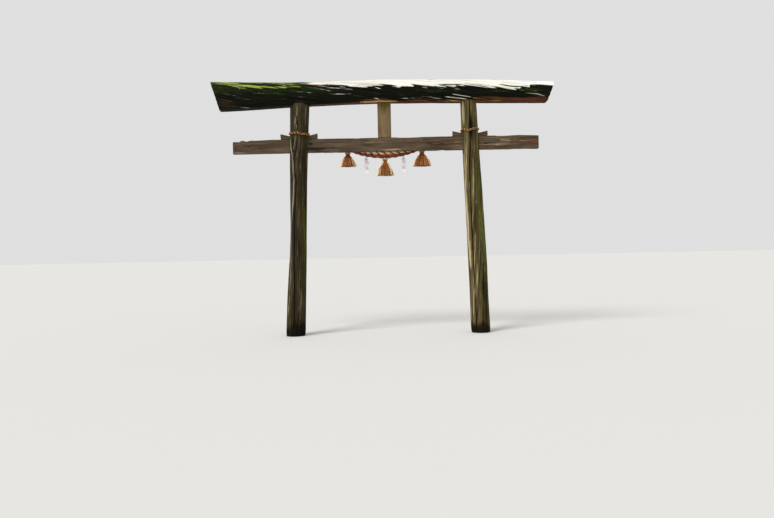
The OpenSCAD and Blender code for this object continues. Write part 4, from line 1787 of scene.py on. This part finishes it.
@dataclass
class Tassel:
    """A straw tassel: a bunch of straw folded over, tied at its neck and spread into a bell.

    Attributes:
        place: Which tassel it is: left, middle or right.
        hem_d: Diameter of its hem.
        skirt_h: Height of its skirt.
        seed: Which random straws it has.
        neck_d: Diameter of its neck.
        neck_h: Height of its neck.
        head_d: Diameter of its head.
        head_h: Height of its head.
        straw_t: Thickness of the straw at its hem.
        count: Number of loose straws.
        loose_d: Diameter of a loose straw.
        tie_d: Diameter of the cord round its neck.
        tie_pitch: Length of one turn of a strand of that cord.
        tie_turns: How many times that cord goes round.
        tie_rings: Points along that cord.
    """

    place: str
    hem_d: float
    skirt_h: float
    seed: int
    neck_d: float = 0.082
    neck_h: float = 0.046
    head_d: float = 0.092
    head_h: float = 0.016
    straw_t: float = 0.034
    count: int = 820
    loose_d: float = 0.0042
    tie_d: float = 0.0085
    tie_pitch: float = 0.022
    tie_turns: int = 3
    tie_rings: int = 200

    @property
    def node(self) -> str:
        """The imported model's name for it."""
        return f"{self.place}_tassel"

    def top(self) -> Vector:
        """Returns the middle of its top."""
        low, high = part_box(self.node)
        return Vector(((low.x + high.x) / 2, (low.y + high.y) / 2, high.z))

    def skirt_r(self, share: Array) -> Array:
        """Returns the skirt's radius at a share of its height down from the neck."""
        return self.neck_d / 2 + (self.hem_d - self.neck_d) / 2 * np.sin(math.pi / 2 * share)

    def straw_paths(self) -> list[Array]:
        """Draws the straws from the head over the neck to the hem, at random.

        Returns:
            The points that each straw follows.
        """
        draw = random.Random(self.seed)
        neck_z = -self.head_h - self.neck_h
        paths = []
        for number in range(self.count):
            start, inner = draw.uniform(0, 2 * math.pi), draw.random() ** 1.5
            drift, reach = draw.gauss(0, 0.10), min(draw.gauss(0.985, 0.03), 1.03)
            flare, kink = draw.gauss(0, 0.006), draw.gauss(0, 0.004)
            # One straw in several is a painted rim highlight: pale, on the outside, at one of the two sides
            # along X
            if number % RIM_HIGHLIGHT_STRAWS == 0:
                start, inner, flare = draw.choice((0, math.pi)) + draw.gauss(0, 0.35), 0, abs(flare)
            head_r, neck_r = self.head_d / 2 * (1 - 0.3 * inner), self.neck_d / 2 * (1 - 0.45 * inner)
            radii = [0.35 * head_r, 0.93 * head_r, 0.97 * head_r, 0.97 * neck_r, 0.98 * neck_r]
            heights = [-0.001, -0.003, -0.6 * self.head_h, -1.1 * self.head_h, neck_z]
            for share in (0.15, 0.32, 0.52, 0.74, 1.0):
                share *= reach
                depth = inner * (0.006 + self.straw_t * share)
                radii.append(float(self.skirt_r(min(share, 1.0))) - depth - 0.002
                             + flare * share ** 2 + kink * math.sin(9 * share + start))
                heights.append(neck_z - self.skirt_h * share)
            turn = start + drift * np.linspace(0, 1, len(radii)) ** 2
            paths.append(polar(turn, np.array(radii), heights))
        middle = np.array(self.top())
        return [path + middle for path in paths]

    def core(self) -> bpy.types.Object:
        """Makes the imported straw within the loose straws, as a bell open below.

        Returns:
            The bell, with its grain kept.
        """
        neck_z = -self.head_h - self.neck_h
        shares = np.linspace(0, 0.96, 12)
        inset = 0.007
        outline = [(0, -0.006), (self.head_d / 2 - inset, -0.006), (self.head_d / 2 - inset, -0.010),
                   (self.neck_d / 2 - inset, -self.head_h)]
        outline += [(float(self.skirt_r(share)) - inset, neck_z - self.skirt_h * share) for share in shares]
        hem_r, hem_z = outline[-1]
        outline += [(hem_r - self.straw_t * 0.8, hem_z), (hem_r * 0.5, hem_z + 0.35 * self.skirt_h),
                    (0, hem_z + 0.5 * self.skirt_h)]
        bm = bmesh.new()
        middle = self.top()
        verts = [bm.verts.new(middle + Vector((r, 0, z))) for r, z in outline]
        edges = [bm.edges.new(pair) for pair in zip(verts, verts[1:])]
        bmesh.ops.spin(bm, geom=verts + edges, cent=middle, axis=(0, 0, 1), angle=2 * math.pi, steps=72,
                       use_merge=True)
        bmesh.ops.remove_doubles(bm, verts=bm.verts, dist=WELD)
        bmesh.ops.recalc_face_normals(bm, faces=bm.faces)
        obj = as_object(bm, "core")
        spots = positions(obj) - np.array(middle)
        turn = np.arctan2(spots[:, 1], spots[:, 0])
        paint(obj, "grain", polar(turn, 0.1, spots[:, 2]))
        # The bell inside the loose straws is painted darker, as painted shade
        paint(obj, "bright", np.full(len(spots), -0.55))
        return obj

    def build(self) -> None:
        """Makes the tassel and the cord round its neck."""
        loose = straws("loose", self.straw_paths(), self.loose_d, tips=0.3)
        tassel = joined(f"loose_{self.node}", [self.core(), loose])
        settle(tassel, TASSEL_STRAW.build(), self.node, crease=70)
        self.build_tie()

    def build_tie(self) -> None:
        """Makes the thin cord round the neck."""
        turned = np.linspace(0, self.tie_turns, self.tie_rings)
        angle = np.radians(100 + 360 * turned)
        climb = -self.head_h - 0.002 + 0.0072 * (turned - self.tie_turns / 2)
        line = polar(angle, self.neck_d / 2 + 0.0055, climb) + np.array(self.top())
        tie = twisted(f"twisted_{self.node}_tie", line, np.full(self.tie_rings, self.tie_d), 2,
                      np.full(self.tie_rings, self.tie_pitch), 8, seed=self.seed + 7)
        settle(tie, TIE_STRAW.build(), f"{self.node}_tie", crease=60)


@dataclass
class PaperStreamer:
    """A strip of white paper folded to and fro into a zigzag.

    Attributes:
        place: Which streamer it is: left or right.
        seed: Which random creases it has.
        width: Width of a fold.
        fold_h: Height of a fold.
        folds: Number of folds.
        slant: How far a fold slants sideways.
        strip_w: Width of the strip that it hangs by.
        strip_h: Length of that strip.
        depth: How far the folds stand forwards and backwards.
        thickness: Thickness of the folded paper.
        row_h: Height of a row of its faces.
        curl: How far its paper is curled.
    """

    place: str
    seed: int
    width: float = 0.086
    fold_h: float = 0.060
    folds: int = 4
    slant: float = 0.021
    strip_w: float = 0.030
    strip_h: float = 0.042
    depth: float = 0.018
    thickness: float = 0.001
    row_h: float = 0.006
    curl: float = 0.004

    def build(self) -> None:
        """Makes the streamer."""
        node = f"{self.place}_paper_streamer"
        low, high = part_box(node)
        middle = (low + high) / 2
        drop = self.strip_h + self.folds * self.fold_h
        rows = round(drop / self.row_h)
        bm = bmesh.new()
        bmesh.ops.create_grid(bm, x_segments=8, y_segments=rows, size=1)
        marks = [0, self.strip_h - 0.002] + [self.strip_h + self.fold_h * i for i in range(self.folds + 1)]
        marks[2] += 0.002
        half = self.width / 2
        swing = [(-half, half - self.slant) if i % 2 == 0 else (self.slant - half, half)
                 for i in range(self.folds + 1)]
        sides = np.array([(-self.strip_w / 2, self.strip_w / 2)] * 2 + swing)
        away = [0, 0] + [self.depth * (1 if i % 2 else -1) for i in range(self.folds + 1)]
        for vert in bm.verts:
            across, down = (vert.co.x + 1) / 2, (1 - vert.co.y) / 2 * drop
            left, right = (float(np.interp(down, marks, side)) for side in sides.T)
            curl = self.curl * math.sin(7 * across + 40 * down + self.seed)
            vert.co = (middle.x + left + (right - left) * across,
                       middle.y + float(np.interp(down, marks, away)) + curl, high.z - down)
        bmesh.ops.recalc_face_normals(bm, faces=bm.faces)
        bmesh.ops.solidify(bm, geom=bm.faces, thickness=self.thickness)
        bmesh.ops.recalc_face_normals(bm, faces=bm.faces)
        settle(as_object(bm, f"folded_{node}"), PaperFinish().build(), node, crease=30)


# What shows on each piece of this gate, with a streak on each line of a table. Streaks sunk below the wood and
# painted dark are cracks, whose darkness is painted shade

LEFT_POST_STREAKS = (
    *read_table("""
.034 .003 pale .5 moss .15 | .2 222, .8 220, 1.35 220, 1.73 216, 2.1 218
.085 0 dark .5 | -.4 262, .6 262, 1.4 266, 2.3 268
.065 0 moss .8 pale .1 | .1 205, .6 206, 1.1 208, 1.6 208
.08 0 moss .45 stain .2 | .3 318, .9 318, 1.6 320, 2.6 318
.027 .006 pale .66 | 1.75 222, 1.98 225, 2.17 230, 2.35 236, 2.6 241, 2.72 243, 2.9 236, 3.09 230, \
    3.17 226, 3.27 215, 3.42 207, 3.52 212
.011 .005 pale .5 | 3.16 232, 3.24 238, 3.29 244, 3.37 249, 3.52 250
.02 -.012 dark 1 | 3.24 230, 3.33 234, 3.42 232, 3.5 231
.018 .003 pale .36 | 2.78 259, 2.9 258, 3.02 260, 3.15 264, 3.3 268
.008 .002 pale .32 | 3.15 276, 3.39 278, 3.48 279
.014 .005 pale .5 | 3.52 255, 3.65 257, 3.7 250, 3.76 252, 3.82 260, 4.06 263
.014 .002 pale .4 | 3.58 213, 3.77 217, 4 219
.02 .002 pale .3 | 3.58 316, 3.8 314, 4.1 314
.014 .002 pale .3 | 1.8 271, 2.35 273, 2.65 271
.013 .002 pale .34 | 1.3 274, 1.5 273, 1.72 272
.024 0 stain .4 | 1.85 282, 2.3 285, 2.6 284
.066 0 moss .68 | 1 334, 1.35 334, 1.72 332, 1.85 322, 2.35 316, 2.6 316
.03 0 pale .22 stain .3 | 1.15 311, 1.45 310, 1.75 309
.03 0 stain .9 | 1.02 334, 1.15 336, 1.28 338
.05 0 stain .5 pale .3 | .35 313, .55 310, .79 312, 1 312
.055 0 stain .8 | .16 308, .45 308
.013 -.014 dark .9 | .1 265, .74 262, 1.23 253, 1.66 249, 2 247, 2.23 251, 2.47 257, 2.72 259, 2.85 248, \
    3.1 246, 3.3 262, 3.62 267
.022 -.003 dark .35 | 1 289, 1.35 288, 1.7 285
.022 -.022 dark 1 | 2.76 215, 2.86 215
.018 -.018 dark 1 | 2.66 223, 2.75 223
.024 -.007 dark .9 | 3.6 266, 3.73 266
.026 0 dark .4 | 3.5 287, 3.7 288, 4.1 286
.05 0 dark .35 moss .3 | 2.7 300, 3.5 300
.07 -.012 | .85 186, 1.6 185, 2.35 186
.014 -.024 dark 1 | .2 84, 1.6 94, 3.3 106
.01 -.014 dark .9 | .8 30, 2.2 38, 3.4 46
.01 -.012 dark .9 | 1.2 140, 3 150, 4 158
"""),
    *scattered(21, 18, (0, 4), (0, 360), (0.5, 1.5), (0.010, 0.020), (0.0, 0.004), drift=6, pale=0.3),
    *scattered(22, 16, (0, 4), (0, 360), (0.4, 1.2), (0.006, 0.012), (-0.008, -0.003), drift=6, dark=0.5),
    *scattered(33, 14, (0, 4), (20, 200), (0.6, 1.7), (0.008, 0.016), (0.0, 0.004), drift=6, pale=0.5),
)
# The wide dark streak on the front from 3.12 to 3.98 m up is a painted shadow under the rope wrap, and the pale
# streaks on the front left, near 205 to 222 degrees, are partly bleached wood and partly painted light
RIGHT_POST_STREAKS = (
    *read_table("""
.014 -.026 dark 1 | -.2 236, .3 238, 1.3 238, 1.86 239, 2.23 242, 2.66 246, 2.84 250, 3.03 254, 3.21 261, \
    3.4 262, 3.65 270, 4.2 274
.011 -.009 dark .75 | .95 242, 1.19 248, 1.35 254, 1.86 262, 1.98 264, 2.23 271, 2.47 277, 2.78 284, \
    3.09 291, 3.4 303, 3.6 306
.014 -.01 dark .8 | .1 238, .36 250, .55 260, .8 264, 1.04 273, 1.23 282, 1.5 291
.062 .003 pale .42 | 2 205, 2.54 214, 2.79 216, 3.03 220, 3.28 226, 3.6 230
.052 .003 pale .95 | 3.35 214, 3.6 219, 3.86 222, 4.3 222
.048 .005 pale 1.1 | .95 218, 1.42 213, 1.54 209, 1.74 206, 1.92 205, 2.11 204, 2.7 207
.018 .004 pale .25 | 1.7 244, 1.92 247, 2.1 253, 2.35 258, 2.53 262, 2.78 270, 3.15 275, 3.5 281
.015 .003 pale .5 | .25 218, .55 227, .8 235, 1.04 243, 1.23 246, 1.42 252, 1.6 256, 1.8 259
.024 .004 pale .5 | .3 228, .42 232, .67 244, .92 254, 1.17 263, 1.41 272, 1.6 277
.01 .002 pale .9 | 2.24 279, 2.3 279
.078 -.003 dark 1.1 | 3.12 272, 3.55 274, 3.98 272
.085 0 dark .25 moss .6 | 2.15 300, 2.47 302, 2.72 310, 3.03 320, 3.45 325
.085 0 moss .55 | 1.5 312, 2.3 312, 2.7 314
.085 .002 moss .9 | 1.05 316, 1.35 320, 1.53 314, 1.71 309, 1.92 304, 2.16 299, 2.35 299
.15 0 moss .6 dark .62 | .3 306, 1 306, 1.45 305
.11 0 dark .6 moss .3 | -.4 300, .42 304, .73 298, 1.1 296
.024 0 stain 1 | .92 231, .99 231, 1.08 234
.035 0 moss .6 | .1 221, .2 220, .4 219
.011 -.016 dark .9 | .6 170, 2.2 178, 3.5 186
.014 -.024 dark 1 | .6 84, 2.2 94, 4.2 108
.01 -.012 dark .8 | .3 20, 1.8 30, 3.2 38
"""),
    *scattered(23, 20, (0, 4), (0, 360), (0.5, 1.5), (0.009, 0.018), (0.0, 0.004), drift=22, pale=0.32),
    *scattered(24, 18, (0, 4), (0, 360), (0.4, 1.2), (0.006, 0.012), (-0.007, -0.003), drift=22, dark=0.5),
    *scattered(34, 14, (0, 4), (20, 200), (0.6, 1.7), (0.008, 0.016), (0.0, 0.004), drift=22, pale=0.5),
)
# The golden streaks low on the front from X 1 to 4, near 240 to 256 degrees, are partly bare stained wood and
# partly painted light reflected from the ground
LINTEL_STREAKS = (
    *read_table("""
.026 -.012 dark .9 moss -.5 | -1.36 112, -1.26 116, -1.1 130, -.94 133, -.61 131, -.49 136, -.3 143, \
    .08 143
.024 -.01 dark .55 pale -.9 stain .5 | .1 137, .41 141, .62 142, .8 144
.024 -.012 dark 1 pale -.9 | 2.5 156, 2.76 157, 2.97 156, 3.1 156
.022 -.012 dark 1 pale -.9 | 3.54 149, 3.66 153, 3.81 161, 3.93 164, 4.03 161, 4.12 158
.01 -.005 dark .6 pale -.4 stain .3 | 3.62 137, 4 141, 4.15 143
.016 .006 pale .75 dark -.8 stain .25 | .16 148, .31 153, .47 164, .62 174, .74 180
.012 .005 pale .7 dark -.8 | 0 174, .12 176, .21 177, .29 181, .4 186
.013 .004 pale .6 dark -.6 | .52 155, .64 159, .83 163, 1.02 172, 1.14 176
.012 .003 pale .5 dark -.5 | .42 184, .55 187, .74 194, .93 194, 1.08 196
.013 .004 pale .8 dark -.8 | 1.4 165, 1.48 169, 1.54 174, 1.62 179
.012 .003 pale .6 dark -.7 | 1.4 219, 1.49 223, 1.57 232, 1.65 238, 1.74 243
.017 .005 pale .6 dark -.6 | 2.76 200, 2.86 204, 3 210, 3.15 216, 3.28 220
.018 .006 pale .65 dark -.6 | 2.64 213, 2.74 217, 2.91 223, 3.1 229, 3.2 232
.014 .005 pale .55 dark -.6 | 3.14 219, 3.22 222, 3.34 225, 3.48 229, 3.56 231
.02 .003 pale .45 stain .4 dark -.7 | 2.18 212, 2.32 216, 2.45 220, 2.58 227, 2.72 232
.012 .003 pale .5 dark -.6 | 1.88 225, 2.04 225, 2.22 223, 2.38 222
.016 .003 pale .5 dark -.6 | 4.04 193, 4.19 196, 4.35 200, 4.45 209, 4.56 215
.016 .003 pale .4 moss .4 dark -.6 | -.8 178, -.65 179, -.45 180, -.22 184, -.05 187
.042 0 moss .3 pale .55 dark -.5 stain .3 | 2.78 181, 2.89 181, 3.02 182
.04 0 moss .5 dark -.4 | 3.2 188, 3.46 187, 3.82 185, 4.14 178, 4.4 174
.06 0 moss .4 pale .15 dark -.35 | 3.9 172, 4.2 178, 4.5 185, 4.6 190
.07 0 moss .45 dark -.25 | 2.05 192, 2.85 192
.026 0 pale .9 stain 1 dark -.9 | 1.1 243, 1.3 241, 1.72 241, 1.98 244
.05 0 pale .8 stain 1 dark -.9 | 1 256, 2.05 256
.05 0 moss .2 stain .7 pale .12 dark -.5 | 1 234, 1.2 232, 1.6 230, 2 232
.04 0 pale .5 stain .8 moss .15 dark -.7 | 2.5 244, 2.75 242, 3 242, 3.3 240, 3.95 240
.06 0 stain .6 dark -.5 | 2 232, 2.4 230, 2.7 232
.13 0 moss .52 stain .55 pale .1 dark -1 | -1.6 214, -1.3 220, -1.05 230, -.85 240
.06 0 pale .15 stain .4 dark -.45 | -1.05 240, -.9 240, -.7 242
"""),
    *scattered(25, 26, (0.9, 4.5), (60, 165), (0.4, 1.4), (0.003, 0.008), (-0.005, -0.001), drift=42,
               dark=0.25, pale=-0.15),
    *scattered(26, 26, (-1.3, 4.5), (165, 245), (0.4, 1.4), (0.005, 0.012), (-0.008, -0.003), drift=42,
               dark=0.4),
    *scattered(35, 12, (-0.8, 4.4), (175, 225), (0.15, 0.5), (0.005, 0.011), (0.001, 0.004), drift=50,
               pale=0.28, dark=-0.3),
    *scattered(36, 40, (-1.3, 4.5), (-60, 60), (0.3, 1.2), (0.005, 0.012), (-0.002, 0.005), drift=42,
               pale=0.6, dark=-0.6),
)
BEAM_STREAKS = (
    *read_table("""
.3 0 dark .2 | -2.6 3.3, -.5 3.3, .4 3.31, 1.8 3.31
.2 0 dark .3 moss .25 | -.1 3.3, .95 3.3
.2 0 dark .32 stain .28 | 1.7 3.3, 3.2 3.3
.2 0 moss .62 | -1.5 3.3, -.7 3.3
.09 0 stain .4 | -.75 3.3, -.45 3.31, -.15 3.31
.03 -.003 dark .6 | .27 3.34, .33 3.335, .4 3.34
.05 0 stain .7 | 1.02 3.335, 1.12 3.333, 1.22 3.33
.03 0 stain .9 dark .3 | 2.3 3.31, 2.5 3.31
.022 0 stain .9 dark .35 | 2.55 3.3, 2.69 3.3
.024 0 dark .8 | 3.3 3.29, 3.46 3.29
.02 0 dark .7 | 3.53 3.34, 3.67 3.34
.2 0 pale .22 | 2.9 3.3, 4.8 3.3
.045 0 stain .8 | 3.9 3.36, 4.06 3.36
.05 0 stain .7 | 3.72 3.28, 3.92 3.28
.11 0 stain .45 | 4 3.3, 4.2 3.31, 4.5 3.31
.15 0 stain .42 | 3.5 3.31, 4.9 3.31
.14 0 pale .16 stain .22 | 2.1 3.31, 4.4 3.31
.03 0 pale .5 | 1.4 3.205, 2 3.215
.03 0 pale .4 | -1.1 3.2, -.7 3.2
.005 -.004 dark .5 | -.9 3.3, 0 3.315
.005 -.004 dark .45 | .5 3.36, 1.3 3.35
.005 -.005 dark .5 | 1.8 3.27, 2.9 3.255
.005 -.005 dark .5 | 3.3 3.29, 4.3 3.28
"""),
    *scattered(27, 18, (-1.0, 4.2), (3.19, 3.42), (0.2, 0.9), (0.006, 0.016), (-0.002, 0.002), pale=0.3),
    *scattered(28, 14, (-1.0, 4.2), (3.19, 3.42), (0.1, 0.6), (0.003, 0.007), (-0.003, -0.001), dark=0.4),
)
STRUT_STREAKS = (
    *read_table("""
.13 0 moss .75 | 3.6 1.62, 4.4 1.62
"""),
    *scattered(29, 10, (3.4, 4.0), (1.51, 1.73), (0.1, 0.5), (0.004, 0.010), (-0.003, 0.002), pale=0.4),
    *scattered(30, 10, (3.4, 4.0), (1.51, 1.73), (0.1, 0.5), (0.002, 0.005), (-0.004, -0.001), dark=0.5),
)

# The left post's colours are darker than the right post's, partly its own weathering and partly painted shade
LEFT_POST_WOOD = WoodFinish("left_post_wood", ("1e1a10", "38301f", "544a34"), ("7e7664", "9c947c"), "4a3218",
                            ("34340e", "5c581a"))
RIGHT_POST_WOOD = WoodFinish("right_post_wood", ("2e2612", "544a2c", "766846"), ("968662", "c8b48c"),
                             "66482a", ("4a4a22", "70723a"))
# The lintel's bleached colours are near white, partly its own bleaching and partly painted sunlight
LINTEL_WOOD = WoodFinish("lintel_wood", ("0c0e08", "1a1d13", "30311f"), ("d6d3c1", "f3f2ea"), "643822",
                         ("1c2c0a", "8e9e42"), golden="d2a458", fibres=48, stain_from=0.66, bump=0.006)
BEAM_WOOD = WoodFinish("beam_wood", ("382e22", "57493a", "72624c"), ("877659", "9c8a6c"), "6e4836",
                       ("3c3e1e", "54542c"), golden="9a7448", stain_from=0.6)
STRUT_WOOD = WoodFinish("strut_wood", ("584630", "746046", "8c785c"), ("9c8a6c", "b4a284"), "6e4a30",
                        ("5c5a22", "7e7a3a"), stain_from=0.62)
WEDGE_WOOD = WoodFinish("wedge_wood", ("30281e", "4c4030", "685a46"), ("80705a", "98886e"), "5e3c2a",
                        ("323a16", "4c5424"))
ROPE_STRAW = StrawFinish("rope_straw", ("5c2404", "b85a10", "e69a44", "fff6e4"), sheen=0.3)
WRAP_STRAW = StrawFinish("wrap_straw", ("4a2408", "9a5a22", "c0843c", "e2b870"), sheen=0.05)
TASSEL_STRAW = StrawFinish("tassel_straw", ("4a2406", "82440c", "b0661a", "ffecc0"), sheen=0.1)
TIE_STRAW = StrawFinish("tie_straw", ("b07838", "dcb070", "f0d8a8", "fbf0d8"), sheen=0.5)


def build_timbers() -> None:
    """Builds the beam, the strut and the four wedges."""
    TieBeam("tie_beam", "beam_wood", BEAM_LOW, BEAM_HIGH, BEAM_WOOD, 51, BEAM_STREAKS,
            cuts=(420, 8, 22)).build()
    low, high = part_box("centre_strut")
    tenon_l = STRUT_TENON[2]
    Strut("centre_strut", "strut_wood", (low.x, low.y, low.z + tenon_l), (high.x, high.y, high.z - tenon_l),
          STRUT_WOOD, 54, STRUT_STREAKS, cuts=(26, 8, 70)).build()
    for seed, side in enumerate(Side):
        for way in ("outer", "inner"):
            node = f"{side.name.lower()}_post_{way}_wedge"
            low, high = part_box(node)
            Wedge(node, "wedge_wood", low, high, WEDGE_WOOD, 57 + seed, arris=0.005, cuts=(40, 8, 7),
                  relief=0.004, mossy=0.5 if side is Side.LEFT else 0.3,
                  axis_x=side.axis_x(BEAM_HIGH.z)).build()


def build_straw() -> None:
    """Builds the turns round the posts, the tassels and the streamers."""
    RopeWrap(Side.LEFT, ((0, 0.0), (90, 0.0), (180, 0.0), (225, -0.006), (240, -0.010), (262, -0.002),
                         (293, -0.030), (311, -0.014), (335, -0.026), (350, -0.004))).build()
    RopeWrap(Side.RIGHT, ((0, 0.002), (90, 0.006), (180, -0.012), (219, -0.002), (254, -0.028),
                          (285, -0.010), (305, 0.0), (330, 0.0))).build()
    for seed, (place, hem_d, skirt_h) in enumerate((("left", 0.270, 0.185), ("middle", 0.286, 0.230),
                                                    ("right", 0.308, 0.205))):
        Tassel(place, hem_d, skirt_h, seed=71 + seed).build()
    for seed, place in enumerate(("left", "right")):
        PaperStreamer(place, seed).build()


def main() -> None:
    """Builds the studio and every piece of the gate in order."""
    logging.basicConfig(level=logging.INFO, format="%(message)s")
    Viewpoint().build()
    Studio().build()
    StrawRope().build()
    Post(Side.LEFT, (0.342, 0.292, 0.338), LEFT_POST_STREAKS, LEFT_POST_WOOD, seed=31, damp=0.30,
         mossy=(318, 42, 0.3)).build()
    Post(Side.RIGHT, (0.334, 0.318, 0.282), RIGHT_POST_STREAKS, RIGHT_POST_WOOD, seed=35, damp=0.24,
         mossy=(318, 60, 0.6), grain_turn=90.0).build()
    Lintel(LINTEL_STREAKS, LINTEL_WOOD).build()
    build_timbers()
    build_straw()


if __name__ == "__main__":
    main()
